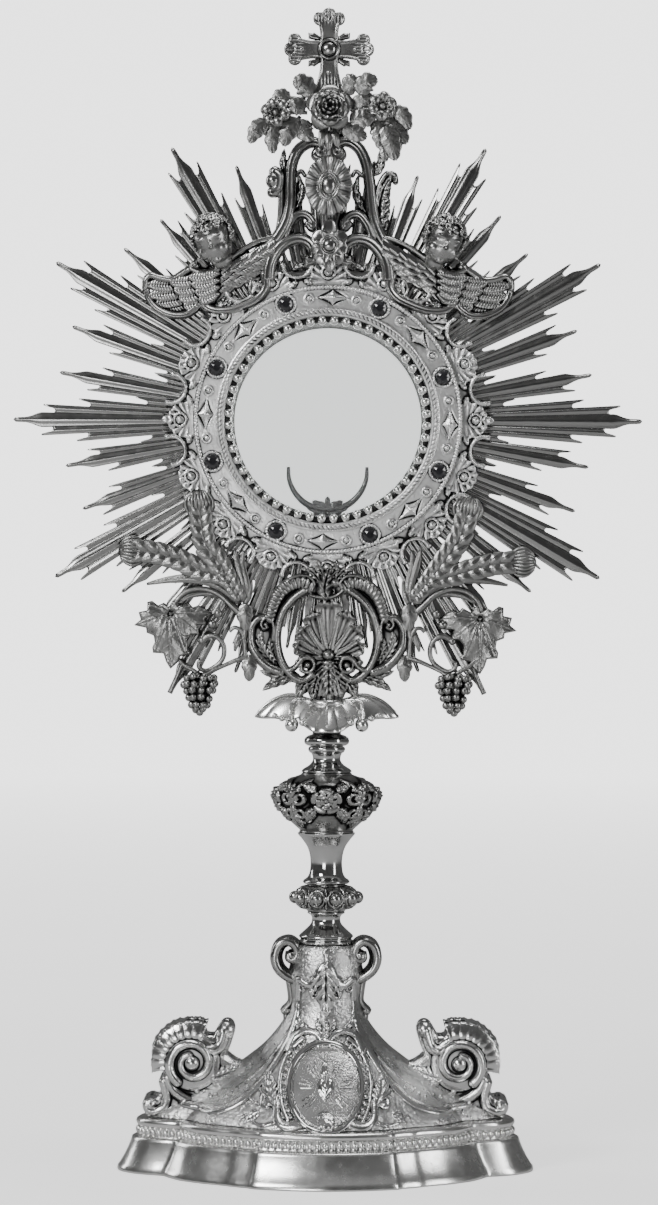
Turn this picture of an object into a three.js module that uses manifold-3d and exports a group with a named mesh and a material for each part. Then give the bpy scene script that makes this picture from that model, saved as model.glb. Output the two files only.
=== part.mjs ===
// A baroque-revival monstrance in silver-plated brass: foot, bolted stem, glazed host chamber and sunburst.
// Millimetres, +Z up, the front faces -Y. The origin is on the ground under the middle of the foot.
import * as THREE from 'three';
import { mergeVertices } from 'three/addons/utils/BufferGeometryUtils.js';
import Module from 'manifold-3d';

const wasm = await Module();
wasm.setup();

// ---- driving dimensions ----
const GAP = 0.3; // clearance between neighbouring pieces

const FOOT_HALF_X = 116.5;
const FOOT_HALF_Y = 79.7;
const SKIRT_TOP_Z = 30;
const FOOT_TOP_Z = 126;
const FOOT_WALL = 2;

const BOLT_R = 2.5;
const BORE_R = 3.1;
const BOLT_TOP_Z = 261;

const RING_Z = 419; // centre of the host chamber
const DRUM_OUTER_R = 61.8;
const DRUM_INNER_R = 57.8;
const DRUM_FRONT_Y = -3.9;
const DRUM_REAR_Y = 13.8;
const FLANGE_R = 80;
const SIGHT_R = 52.5; // clear radius of the glazing
const PEARL_OUTER_R = 57.6;
const BEZEL_OUTER_R = 75;
const BEZEL_FRONT_Y = -9;
const GALLERY_REAR_Y = 0.6;
const GALLERY_FRONT_Y = -1.6;
const GALLERY_LOBES = 16;
const RAY_FRONT_Y = 1.6;
const RAY_REAR_Y = 3.9;
const RAY_SECTORS = 12;
const RAY_TIP_R = 176.4;

const GEM_COUNT = 8;
const GEM_PITCH_R = 68.5;
const GEM_FIRST_DEG = 24.75; // clockwise from the top
const GEM_R = 4.4;

const DOOR_FRONT_Y = 14.4;
const DOOR_REAR_Y = 18.6;
const DOOR_OUTER_R = 63.4;
const HINGE_X = 67;
const HINGE_Y = 17;
const KNUCKLE_R = 2.6;
const PIN_R = 1.2;
const LATCH_X = -67;

const LUNULA_PIVOT_Y = 9.1;
const LUNULA_PIVOT_Z = 369.8;
const LUNULA_TIP_Z = 393;
const LUNULA_BASE_Z = 367.3;

const TOP_Z = 650;

const SILVER = { color: 0xb9b8b4, roughness: 0.32, metalness: 1 };
const BRIGHT = { color: 0xd9d8d4, roughness: 0.22, metalness: 1 };
const FROSTED = { color: 0xcfcfcc, roughness: 0.5, metalness: 1 };
const BLACK_STONE = { color: 0x0b0b0d, roughness: 0.08, metalness: 0 };
const CLEAR = { color: 0xe8f0f0, roughness: 0.03, metalness: 0, transparent: true, opacity: 0.3 };

const object = new THREE.Group();

// ---- helpers ----
const radians = THREE.MathUtils.degToRad;

function solid(geometry) {
  let bare = geometry.clone();
  bare.deleteAttribute('normal');
  bare.deleteAttribute('uv');
  bare = mergeVertices(bare, 1e-4);
  const vertProperties = new Float32Array(bare.attributes.position.array);
  const triVerts = new Uint32Array(bare.index.array);
  if (enclosedVolume(vertProperties, triVerts) < 0) {
    triVerts.reverse();
  }
  return new wasm.Manifold(new wasm.Mesh({ numProp: 3, vertProperties, triVerts }));
}

// Negative when the faces point in, as they do on a profile drawn the other way round.
function enclosedVolume(at, triangles) {
  const a = new THREE.Vector3();
  const b = new THREE.Vector3();
  const c = new THREE.Vector3();
  let sum = 0;
  for (let i = 0; i < triangles.length; i += 3) {
    a.fromArray(at, 3 * triangles[i]);
    b.fromArray(at, 3 * triangles[i + 1]);
    c.fromArray(at, 3 * triangles[i + 2]);
    sum += a.dot(b.cross(c));
  }
  return sum;
}

function joined(solids) {
  return solids.reduce((whole, next) => whole.add(next));
}

function addPart(name, body, look) {
  const mesh = body.getMesh();
  const geometry = new THREE.BufferGeometry();
  geometry.setAttribute('position', new THREE.BufferAttribute(new Float32Array(mesh.vertProperties), 3));
  geometry.setIndex(new THREE.BufferAttribute(new Uint32Array(mesh.triVerts), 1));
  geometry.computeVertexNormals();
  const part = new THREE.Mesh(geometry, new THREE.MeshStandardMaterial(look));
  part.name = name;
  object.add(part);
}

const points = (pairs) => pairs.map(([x, y]) => new THREE.Vector2(x, y));

// A turned piece about the vertical axis, from [radius, z] pairs that close on themselves.
function turned(profile, segments = 20) {
  const ring = points([...profile, profile[0]]);
  return solid(new THREE.LatheGeometry(ring, segments).rotateX(Math.PI / 2));
}

// A turned piece about the chamber's own axis, from [radius, y] pairs that close on themselves.
function turnedOnRing(profile, segments = 36) {
  const ring = points([...profile, profile[0]]);
  return solid(new THREE.LatheGeometry(ring, segments).translate(0, 0, RING_Z));
}

// A plate lying in the XZ plane between two depths.
function plate(shape, frontY, rearY, curveSegments = 6) {
  const depth = rearY - frontY;
  const geometry = new THREE.ExtrudeGeometry(shape, { depth, bevelEnabled: false, curveSegments });
  return solid(geometry.rotateX(Math.PI / 2).translate(0, rearY, 0));
}

const outline = (pairs) => new THREE.Shape(points(pairs));

function disc(x, z, radius, frontY, rearY, segments = 12) {
  const geometry = new THREE.CylinderGeometry(radius, radius, rearY - frontY, segments);
  return solid(geometry.translate(x, (frontY + rearY) / 2, z));
}

function post(x, y, radius, lowZ, highZ, segments = 24) {
  const geometry = new THREE.CylinderGeometry(radius, radius, highZ - lowZ, segments);
  return solid(geometry.rotateX(Math.PI / 2).translate(x, y, (lowZ + highZ) / 2));
}

function axle(y, z, radius, halfLength, segments = 16) {
  const geometry = new THREE.CylinderGeometry(radius, radius, 2 * halfLength, segments);
  return solid(geometry.rotateZ(Math.PI / 2).translate(0, y, z));
}

function block(lowX, highX, lowY, highY, lowZ, highZ) {
  const geometry = new THREE.BoxGeometry(highX - lowX, highY - lowY, highZ - lowZ);
  return solid(geometry.translate((lowX + highX) / 2, (lowY + highY) / 2, (lowZ + highZ) / 2));
}

function ball(x, y, z, radiusX, radiusY, radiusZ, segments = 10) {
  const geometry = new THREE.SphereGeometry(1, segments, Math.round(segments * 0.6));
  geometry.scale(radiusX, radiusY, radiusZ);
  return solid(geometry.translate(x, y, z));
}

// A round bar along a smooth curve through [x, z] points at one depth.
function bar(pairs, y, radius, steps = 8) {
  const curve = new THREE.CatmullRomCurve3(pairs.map(([x, z]) => new THREE.Vector3(x, y, z)));
  const section = new THREE.Shape();
  section.absarc(0, 0, radius, 0, 2 * Math.PI);
  const options = { steps, extrudePath: curve, bevelEnabled: false, curveSegments: 3 };
  return solid(new THREE.ExtrudeGeometry(section, options));
}

// Point at a radius and a clockwise angle from the top of the chamber ring.
function onRing(radius, degrees) {
  const angle = radians(degrees);
  return [radius * Math.sin(angle), RING_Z + radius * Math.cos(angle)];
}

const mirrored = (pairs, side) => pairs.map(([x, z]) => [side * x, z]);

// ---- foot ----
// One quarter of the lobed foot plan, from the X end to the Y end: side lobe, crease, hollow, facet, lobe.
const FOOT_PLAN = [
  [1, 0], [0.973, 0.165], [0.89, 0.28], [0.766, 0.354], [0.66, 0.58], [0.47, 0.765], [0.354, 0.876],
  [0.18, 0.97],
];

function quarterTurns() {
  const around = [];
  for (const [x, y] of FOOT_PLAN) {
    around.push([x, y]);
  }
  for (const [x, y] of [[0, 1], ...FOOT_PLAN.slice(1).reverse()]) {
    around.push([-x, y]);
  }
  for (const [x, y] of FOOT_PLAN) {
    around.push([-x, -y]);
  }
  for (const [x, y] of [[0, 1], ...FOOT_PLAN.slice(1).reverse()]) {
    around.push([x, -y]);
  }
  return around;
}

// A solid through stacked sections [z, half length in X, half length in Y, roundness 0 to 1].
function stacked(sections) {
  const plan = quarterTurns();
  const count = plan.length;
  const at = [];
  for (const [z, halfX, halfY, roundness] of sections) {
    for (const [x, y] of plan) {
      const length = Math.hypot(x, y);
      const squeeze = 1 + roundness * (1 / length - 1);
      at.push(x * squeeze * halfX, y * squeeze * halfY, z);
    }
  }
  const low = sections[0][0];
  const high = sections[sections.length - 1][0];
  at.push(0, 0, low, 0, 0, high);
  const bottomCentre = sections.length * count;
  const index = [];
  for (let i = 0; i < count; i += 1) {
    const next = (i + 1) % count;
    for (let level = 0; level < sections.length - 1; level += 1) {
      const a = level * count + i;
      const b = level * count + next;
      index.push(a, b, b + count, a, b + count, a + count);
    }
    const top = (sections.length - 1) * count;
    index.push(bottomCentre, next, i, bottomCentre + 1, top + i, top + next);
  }
  const geometry = new THREE.BufferGeometry();
  geometry.setAttribute('position', new THREE.Float32BufferAttribute(at, 3));
  geometry.setIndex(index);
  return solid(geometry);
}

const grown = (sections, by) => sections.map(([z, x, y, roundness]) => [z, x + by, y + by, roundness]);

const SKIRT = [
  [0, FOOT_HALF_X, FOOT_HALF_Y, 0],
  [3, FOOT_HALF_X - 0.6, FOOT_HALF_Y - 0.6, 0],
  [11, FOOT_HALF_X - 6, FOOT_HALF_Y - 6, 0],
  [19, FOOT_HALF_X - 8.7, FOOT_HALF_Y - 8.7, 0],
  [20, FOOT_HALF_X - 11.5, FOOT_HALF_Y - 11.5, 0],
  [27, FOOT_HALF_X - 12.6, FOOT_HALF_Y - 12.6, 0],
  [SKIRT_TOP_Z, FOOT_HALF_X - 15.5, FOOT_HALF_Y - 15.5, 0],
];

const DOME = [
  [SKIRT_TOP_Z + GAP, 99, 64, 0],
  [38, 90, 58, 0.1],
  [48, 70, 50, 0.3],
  [58, 51, 42, 0.5],
  [70, 35, 32, 0.75],
  [84, 23.5, 24, 0.95],
  [95.5, 19.6, 20.5, 1],
  [110, 21, 21, 1],
  [FOOT_TOP_Z, 17, 17, 1],
];

function footSkirt() {
  const first = SKIRT[0];
  const last = SKIRT[SKIRT.length - 1];
  const inside = stacked(grown([[-1, ...first.slice(1)], SKIRT[3],
  [SKIRT_TOP_Z + 1, ...last.slice(1)]], -3));
  return stacked(SKIRT).subtract(inside);
}

function footBody() {
  const first = DOME[0];
  const levels = [[SKIRT_TOP_Z - 1, ...first.slice(1)], ...DOME.slice(1, 6), [FOOT_TOP_Z - 4, 17, 17, 1]];
  const shell = stacked(DOME).subtract(stacked(grown(levels, -FOOT_WALL)));
  return shell.subtract(post(0, 0, BORE_R, 110, FOOT_TOP_Z + 1, 16));
}

const DOME_CLEARANCE = stacked(grown(DOME, GAP));
const SKIRT_CLEARANCE = stacked(grown(SKIRT, GAP));

function footConsole(side) {
  const scroll = outline(mirrored([
    [41, 58], [45, 66], [49, 76], [54, 82], [59, 82], [62, 77], [66, 80], [75, 83.5], [84, 82], [90, 75],
    [92, 66], [95, 58], [99, 48], [101, 38], [98, 33], [92, 31], [84, 33], [70, 40], [55, 48],
  ], side));
  const cavity = outline(mirrored([
    [48, 62], [52, 73], [58, 77], [66, 76], [75, 80], [83, 78], [87, 70], [91, 58], [96, 44], [94, 34],
    [80, 30], [55, 40],
  ], side));
  const hollow = plate(scroll, -17, 17).subtract(plate(cavity, -15, 15));
  return hollow.subtract(DOME_CLEARANCE).subtract(SKIRT_CLEARANCE);
}

// An oval plaque that follows the slope of the dome, 3 mm proud of it.
function footMedallion(side) {
  const oval = new THREE.Shape();
  oval.absellipse(0, 53, 21, 23, 0, 2 * Math.PI);
  const nearY = side < 0 ? -FOOT_HALF_Y : 10;
  const farY = side < 0 ? -10 : FOOT_HALF_Y;
  const column = plate(oval, nearY, farY, 12);
  const whole = column.intersect(stacked(grown(DOME, 3.2))).subtract(DOME_CLEARANCE);
  return whole.subtract(SKIRT_CLEARANCE);
}

// ---- stem, threaded on one long bolt ----
function tieRod() {
  const shank = post(0, 0, BOLT_R, 108, BOLT_TOP_Z + 1, 16);
  return shank.add(post(0, 0, 4.8, BOLT_TOP_Z, BOLT_TOP_Z + 4.2, 6));
}

function tieNut() {
  const washer = post(0, 0, 9, FOOT_TOP_Z - 6.5, FOOT_TOP_Z - 4 - GAP, 24);
  const nut = post(0, 0, 5.2, FOOT_TOP_Z - 12, FOOT_TOP_Z - 6, 6);
  return washer.add(nut).subtract(post(0, 0, BORE_R, 100, FOOT_TOP_Z, 16));
}

const stemFlange = () => turned([
  [BORE_R, 126.3], [15.1, 126.3], [15.1, 131.2], [13.7, 132.4], [9.5, 135.5], [8, 139.7], [10, 144.2],
  [BORE_R, 144.2],
]);

const lowerKnop = () => turned([
  [BORE_R, 144.5], [11, 144.5], [18, 147.5], [21, 152], [18, 156.5], [11, 159.5], [BORE_R, 159.5],
  [BORE_R, 157.6], [11, 157.4], [18.6, 152], [11, 146.6], [BORE_R, 146.4],
]);

const stemBaluster = () => turned([
  [BORE_R, 159.8], [12.9, 159.8], [12.6, 162], [9.35, 165.5], [8.8, 172], [10, 178.6], [13.5, 184.5],
  [16, 188.1], [BORE_R, 188.1],
]);

const mainKnop = () => turned([
  [BORE_R, 188.4], [15, 188.4], [21, 193], [27, 201.5], [29, 208.5], [26, 215.5], [17, 221.5],
  [BORE_R, 221.5],
  [BORE_R, 219.4], [16.5, 219.2], [24, 214.2], [26.6, 208.5], [24.8, 202.5], [19.2, 194.8], [14, 190.6],
  [BORE_R, 190.4],
], 20);

const stemNeck = () => turned([
  [BORE_R, 221.8], [14, 221.8], [12, 224.5], [8.2, 227], [7.75, 229.5], [8.6, 233], [10.3, 235], [9, 236.6],
  [BORE_R, 236.6],
]);

const stemHead = () => turned([
  [BORE_R, 236.9], [11, 236.9], [12.5, 239.6], [11, 242.4], [8, 243.4], [8, 258.2], [BORE_R, 258.2],
]);

function leafCollar() {
  const profile = [
    [8.6, 244.6], [22, 244], [34, 247.5], [37.8, 251], [37.2, 255], [31, 252], [21, 248.6], [8.6, 248.8],
  ];
  const ring = points([...profile, profile[0]]);
  const dish = new THREE.LatheGeometry(ring, 28).rotateX(Math.PI / 2).scale(1, 0.62, 1);
  const bore = post(0, 0, 8.6, 240, 260);
  return solid(dish).subtract(bore);
}

// ---- chamber ----
function chamberCase() {
  const drum = turnedOnRing([
    [DRUM_INNER_R, DRUM_FRONT_Y], [DRUM_OUTER_R, DRUM_FRONT_Y], [DRUM_OUTER_R, 4.3], [FLANGE_R, 4.3],
    [FLANGE_R, 6.3], [DRUM_OUTER_R, 6.3], [DRUM_OUTER_R, DRUM_REAR_Y], [DRUM_INNER_R, DRUM_REAR_Y],
  ]);
  const pieces = [drum, block(LATCH_X - 5, -60.5, 8, DRUM_REAR_Y, RING_Z - 5, RING_Z + 5)];
  for (const [low, high] of [[-10, -4.3], [4.3, 10]]) {
    pieces.push(block(60.5, HINGE_X + 2.4, 9.5, DRUM_REAR_Y, RING_Z + low, RING_Z + high));
    pieces.push(block(HINGE_X - 2.4, HINGE_X + 2.4, 10, HINGE_Y, RING_Z + low, RING_Z + high));
    pieces.push(post(HINGE_X, HINGE_Y, KNUCKLE_R, RING_Z + low, RING_Z + high, 16));
  }
  const pinHole = post(HINGE_X, HINGE_Y, PIN_R + 0.4, RING_Z - 12, RING_Z + 12, 16);
  const latchHole = disc(LATCH_X, RING_Z, 1.9, 7, 15, 24);
  return joined(pieces).subtract(pinHole).subtract(latchHole);
}

function frontBezel() {
  const band = turnedOnRing([
    [57.9, -4.2], [57.9, -8.2], [59.2, BEZEL_FRONT_Y - 0.8], [61.6, BEZEL_FRONT_Y - 0.8],
    [62.6, BEZEL_FRONT_Y], [72.4, BEZEL_FRONT_Y + 0.6], [BEZEL_OUTER_R, -6.4],
    [BEZEL_OUTER_R, GALLERY_FRONT_Y - GAP], [73, GALLERY_FRONT_Y - GAP], [72.6, -6.2], [64.5, -6.6],
    [64, -4.2],
  ]);
  const collets = [];
  for (let i = 0; i < GEM_COUNT; i += 1) {
    const [x, z] = onRing(GEM_PITCH_R, GEM_FIRST_DEG + (360 / GEM_COUNT) * i);
    collets.push(disc(x, z, 5.5, -9.4, -7, 14));
  }
  return joined([band, ...collets]);
}

function gem(i) {
  const [x, z] = onRing(GEM_PITCH_R, GEM_FIRST_DEG + (360 / GEM_COUNT) * i);
  const stone = new THREE.CylinderGeometry(GEM_R, GEM_R * 0.6, 2.6, 8);
  return solid(stone.rotateX(Math.PI).translate(x, -9.7 - 1.3, z));
}

const pearlRing = () => turnedOnRing([
  [SIGHT_R, -6.3], [SIGHT_R, -7.8], [55.3, -10.1], [PEARL_OUTER_R, -7.8],
  [PEARL_OUTER_R, -6.3],
], 56);

const frontGlass = () => disc(0, RING_Z, 57.2, -6, -4.2, 36);

// Rounded scroll-edged notches between lobes, with the lobes' ends nearly on a circle.
function galleryPlate() {
  const pitch = 360 / GALLERY_LOBES;
  const notchAt = 88.5;
  const notchR = 6.7;
  const outer = [];
  for (let lobe = 0; lobe < GALLERY_LOBES; lobe += 1) {
    const [tipX, tipZ] = onRing(92, lobe * pitch);
    outer.push([tipX, tipZ], onRing(90.5, lobe * pitch + 4));
    for (const turn of [-70, -35, 0, 35, 70]) {
      const angle = lobe * pitch + pitch / 2;
      const [centreX, centreZ] = onRing(notchAt, angle);
      const inward = radians(angle + 180 - turn);
      outer.push([centreX + notchR * Math.sin(inward), centreZ + notchR * Math.cos(inward)]);
    }
    outer.push(onRing(90.5, lobe * pitch + pitch - 4));
  }
  const shape = outline(outer);
  const whole = plate(shape, GALLERY_FRONT_Y, GALLERY_REAR_Y);
  return whole.subtract(disc(0, RING_Z, 62.2, -5, 5, 36));
}

// Fifteen bars at two-degree steps: a wide bundle flanked by two narrow ones, as tip radii.
const BAR_STEP = 2;
const BAR_TIPS = [100, 132, 150, 132, 106, 142, 162, RAY_TIP_R, 162, 142, 106, 132, 150, 132, 100];

function raySector(i) {
  const centre = i * (360 / RAY_SECTORS);
  const longest = i === 0 ? 160 : i === RAY_SECTORS / 2 ? 142 : RAY_TIP_R;
  const half = (BAR_TIPS.length * BAR_STEP) / 2 - 0.1;
  const edge = [];
  BAR_TIPS.forEach((tip, k) => {
    const from = Math.max(-half, -15 + k * BAR_STEP);
    const to = Math.min(half, -15 + (k + 1) * BAR_STEP);
    edge.push(onRing(Math.min(tip, longest), centre + from), onRing(Math.min(tip, longest), centre + to));
  });
  for (const step of [1, 0.5, 0, -0.5, -1]) {
    edge.push(onRing(62.4, centre + step * half));
  }
  return plate(outline(edge), RAY_FRONT_Y, RAY_REAR_Y);
}

function rearBracket() {
  const upright = outline([[-9, 258.6], [9, 258.6], [9, 300], [13, 344], [-13, 344], [-9, 300]]);
  const foot = block(-9, 9, -4, 8, 258.6, BOLT_TOP_Z - GAP);
  return plate(upright, 6.6, 10).add(foot).subtract(post(0, 0, BORE_R, 250, 262, 16));
}

// ---- rear door ----
function rearDoor() {
  const ring = turnedOnRing([
    [SIGHT_R, 17.3], [57.3, 17.3], [57.3, 15], [55, 15], [55, DOOR_FRONT_Y], [DOOR_OUTER_R, DOOR_FRONT_Y],
    [DOOR_OUTER_R, 17.4], [61.5, DOOR_REAR_Y], [SIGHT_R, DOOR_REAR_Y],
  ]);
  const lug = block(LATCH_X - 5, -60.5, DOOR_FRONT_Y, 18, RING_Z - 5, RING_Z + 5);
  const leaf = block(60.5, HINGE_X, 15.6, DOOR_REAR_Y, RING_Z - 4, RING_Z + 4);
  const knuckle = post(HINGE_X, HINGE_Y, KNUCKLE_R, RING_Z - 4, RING_Z + 4, 16);
  const pinHole = post(HINGE_X, HINGE_Y, PIN_R + 0.4, RING_Z - 6, RING_Z + 6, 16);
  const latchHole = disc(LATCH_X, RING_Z, 1.9, 12, 20, 24);
  return joined([ring, lug, leaf, knuckle]).subtract(pinHole).subtract(latchHole);
}

const rearGlass = () => disc(0, RING_Z, 56.9, 15.3, 17, 36);

function doorHingePin() {
  const shank = post(HINGE_X, HINGE_Y, PIN_R, RING_Z - 11, RING_Z + 11, 12);
  const top = post(HINGE_X, HINGE_Y, 2, RING_Z + 10.4, RING_Z + 11.8, 12);
  const bottom = post(HINGE_X, HINGE_Y, 2, RING_Z - 11.8, RING_Z - 10.4, 12);
  return joined([shank, top, bottom]);
}

function doorKnob() {
  const shank = disc(LATCH_X, RING_Z, 1.5, 10.4, 19, 24);
  const collar = disc(LATCH_X, RING_Z, 3.4, 18.4, 20.6, 16);
  const head = disc(LATCH_X, RING_Z, 6, 20.4, 24.5, 20);
  return joined([shank, collar, head]);
}

// ---- lunula ----
function lunulaSocket() {
  const seat = block(-9, 9, 2.4, 10.6, 362.6, 366.4);
  return seat.subtract(block(-6.4, 6.4, 4, 9, 362.9 + 0.7, 370));
}

// A crescent lying open at the top, thin towards its tips and cut off level at its foot.
function crescent(frontY, rearY, lowZ) {
  const radius = 22;
  const centreZ = LUNULA_TIP_Z;
  const steps = 14;
  const outer = [];
  const inner = [];
  for (let i = 0; i <= steps; i += 1) {
    const angle = Math.PI * (1 + i / steps);
    const thickness = 0.8 + 3.4 * Math.sin((Math.PI * i) / steps);
    const drop = ((LUNULA_TIP_Z - LUNULA_BASE_Z) / radius) * Math.sin(angle);
    outer.push([radius * Math.cos(angle), centreZ + radius * drop]);
    inner.unshift([(radius - thickness) * Math.cos(angle), centreZ + (radius - thickness * 0.8) * drop]);
  }
  const arc = plate(outline([...outer, ...inner]), frontY, rearY);
  return arc.subtract(block(-30, 30, frontY - 1, rearY + 1, LUNULA_BASE_Z - 5, lowZ));
}

function lunulaFront() {
  const arc = crescent(3.6, 4.8, LUNULA_BASE_Z);
  const base = block(-7, 7, 3.6, 11, 366.8, 368);
  const tang = block(-6, 6, 4.4, 8.6, 364.2, 367);
  const pieces = [arc, base, tang];
  for (const side of [-1, 1]) {
    const nearX = side < 0 ? -7 : 4.6;
    pieces.push(block(nearX, nearX + 2.4, 7.4, 10.8, 367.8, 371.6));
  }
  const clump = ball(0, 4, 371, 6, 2, 3.4, 10).subtract(block(-9, 9, 4.8, 9, 360, 380));
  pieces.push(clump);
  return joined(pieces).subtract(axle(LUNULA_PIVOT_Y, LUNULA_PIVOT_Z, 1.1, 9));
}

function lunulaClip() {
  const arc = crescent(5.5, 6.6, 369.2);
  const barrel = axle(LUNULA_PIVOT_Y, LUNULA_PIVOT_Z, 1.3, 4.2);
  const stub = axle(LUNULA_PIVOT_Y, LUNULA_PIVOT_Z, 0.7, 6.6, 12);
  const web = block(-4.2, 4.2, 5.6, LUNULA_PIVOT_Y, LUNULA_PIVOT_Z - 0.6, LUNULA_PIVOT_Z + 1.3);
  return joined([arc, barrel, stub, web]);
}

// ---- ornament ----
// A cross arm along +X: straight neck, then a flared three-lobed end.
const CROSS_ARM = [
  [0, -5.2], [16, -5.6], [20, -8.4], [24, -7.6], [25.3, 0], [24, 7.6], [20, 8.4], [16, 5.6], [0, 5.2],
];
const CROSS_REACH = 25.3;
const CROSS_Z = 626.6;

function crossArm(degrees, reach) {
  const angle = radians(degrees);
  const turnedArm = CROSS_ARM.map(([x, z]) => {
    const along = (x * reach) / CROSS_REACH;
    const acrossX = along * Math.cos(angle) - z * Math.sin(angle);
    return [acrossX, CROSS_Z + along * Math.sin(angle) + z * Math.cos(angle)];
  });
  return plate(outline(turnedArm), -2.8, 0.7);
}

function cross() {
  return joined([
    crossArm(0, CROSS_REACH),
    crossArm(90, TOP_Z - CROSS_Z),
    crossArm(180, CROSS_REACH),
    block(-5.2, 5.2, -2.8, 0.7, 608, CROSS_Z),
    block(-4.8, 4.8, -2, 0.7, 585, 610),
    block(-11.5, 11.5, -1.8, 0, CROSS_Z - 11.5, CROSS_Z + 11.5),
    disc(0, CROSS_Z, 5.4, -4, 0.7, 14),
  ]);
}

function roseBouquet() {
  const spray = outline([
    [0, 609], [12, 610], [22, 602], [33, 603], [42, 596], [46, 588], [39, 580], [44, 570], [37, 562],
    [24, 568],
    [12, 574], [0, 573], [-12, 573], [-24, 572], [-31, 568], [-43, 574], [-45, 586], [-38, 598], [-24, 601],
    [-12, 608],
  ]);
  const leaves = plate(spray, -12, -7.3);
  const rose = ball(0, -13, 592, 13.5, 9, 13.5, 14);
  const left = ball(-30, -12, 589, 8.5, 4.5, 8, 10);
  const right = ball(29, -12, 593, 8.5, 4.5, 8, 10);
  return joined([leaves, rose, left, right]).subtract(block(-60, 60, -7.3, 20, 540, 640));
}

function crownScrollwork() {
  const arch = outline([
    [0, 575], [9, 574], [16, 567], [22, 556], [26, 548], [33, 546], [39, 541], [38, 533], [30, 528],
    [26, 518],
    [29, 508], [24, 502], [12, 501], [0, 500], [-12, 501], [-24, 502], [-29, 508], [-26, 518], [-30, 528],
    [-38, 533], [-39, 541], [-33, 546], [-26, 548], [-22, 556], [-16, 567], [-9, 574],
  ]);
  const pieces = [plate(arch, -7, -3.2), block(-5.5, 5.5, -7, -2.4, 560, 598)];
  for (const [x, z] of [[-14, 550], [14, 550], [-14, 524], [14, 524]]) {
    pieces.push(disc(x, z, 3.5, -4, 0.7, 10));
  }
  for (const side of [-1, 1]) {
    pieces.push(bar(mirrored([[8, 569], [16, 563], [22, 552], [18, 540], [11, 536]], side), -6, 2.3, 8));
  }
  return joined(pieces).subtract(block(-60, 60, GALLERY_REAR_Y + 0.1, 20, 480, 640));
}

const ovalRosette = () => ball(0, -7.3, 549, 14, 7, 17, 14).subtract(block(-20, 20, -10, 5, 520, 580));

const lowerFlower = () => ball(0, -7.3, 516, 11.5, 6.5, 17, 14).subtract(block(-20, 20, -10, 5, 490, 540));

function cherub(side) {
  const head = ball(side * 66, -11, 519, 14, 12, 16, 12);
  const wings = outline(mirrored([
    [31, 502], [33, 511], [44, 512], [54, 508], [66, 505], [78, 506], [90, 504], [99, 498],
    [103, 490], [99, 484],
    [90, 480], [80, 476], [68, 480], [56, 484], [46, 482], [41, 486], [36, 493],
  ], side));
  const scroll = bar(mirrored([[43, 486], [52, 480], [64, 487], [78, 478], [92, 478],
  [101, 486]], side), -7, 2.4);
  const pieces = [head, plate(wings, -10, -3.2), scroll, disc(side * 66, 517, 5, -5, 0.7, 10)];
  return joined(pieces).subtract(block(-120, 120, 0.7, 20, 460, 560));
}

function shellCartouche() {
  const shell = outline([
    [0, 318], [8, 312], [15, 306], [20, 298], [21, 290], [16, 285], [6, 286], [-6, 286], [-16, 285],
    [-21, 290],
    [-20, 298], [-15, 306], [-8, 312],
  ]);
  const pieces = [plate(shell, -12, -5.4), block(-6, 6, -9, -5.4, 262, 292)];
  pieces.push(plate(outline([
    [0, 335], [12, 332], [24, 326], [20, 318], [6, 320], [-6, 320], [-20, 318], [-24, 326], [-12, 332],
  ]), -9, -5.4));
  for (const side of [-1, 1]) {
    const frame = [
      [8, 329], [24, 325], [33, 314], [38, 304], [32, 291], [26, 281], [36, 276], [24, 268], [8, 263],
      [2, 266],
      [6, 277], [16, 279], [23, 286], [28, 297], [28, 307], [20, 318], [8, 322],
    ];
    pieces.push(plate(outline(mirrored(frame, side)), -9, -5.4));
    pieces.push(disc(side * 30, 306, 3, -6, 0.7, 8));
  }
  return joined(pieces);
}

function wheatSpray(side) {
  const pieces = [
    bar(mirrored([[46, 311], [58, 332], [68, 355]], side), -6, 1.6, 3),
    bar(mirrored([[46, 313], [70, 325], [95, 337]], side), -6, 1.6, 3),
    ball(side * 46, -5.6, 312, 6, 2.3, 6, 10),
  ];
  const ears = [[73, 364, 12, side * 12], [105, 341, 12, side * 62]];
  for (const [x, z, halfLength, tilt] of ears) {
    const ear = new THREE.SphereGeometry(1, 8, 6).scale(6.8, 2.6, halfLength + 3);
    pieces.push(solid(ear.rotateY(radians(tilt)).translate(side * x, -6, z)));
  }
  const blade = [[48, 311], [60, 318], [76, 321], [93, 328], [76, 330], [58, 325]];
  pieces.push(plate(outline(mirrored(blade, side)), -6.4, -4.6));
  pieces.push(disc(side * 46, 312, 2.4, -5, 0.7, 8));
  return joined(pieces);
}

function vineSpray(side) {
  const leaf = [
    [70, 302], [67, 312], [75, 314], [78, 323], [86, 321], [92, 327], [98, 321], [106, 320],
    [104, 311], [110, 304],
    [102, 299], [99, 291], [90, 292], [83, 287], [78, 294],
  ];
  const pieces = [
    plate(outline(mirrored(leaf, side)), -9.6, -6.7),
    bar(mirrored([[86, 296], [76, 289], [66, 299], [56, 294], [52, 284], [62, 280],
    [71, 280]], side), -6, 1.6, 16),
    ball(side * 72, -6, 268, 12, 7, 14, 12),
    disc(side * 86, 306, 3, -7, 0.7, 8),
    plate(outline(mirrored([[52, 286], [44, 290], [39, 282], [43, 273], [51, 277]], side)), -7, -5),
  ];
  return joined(pieces);
}

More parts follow.
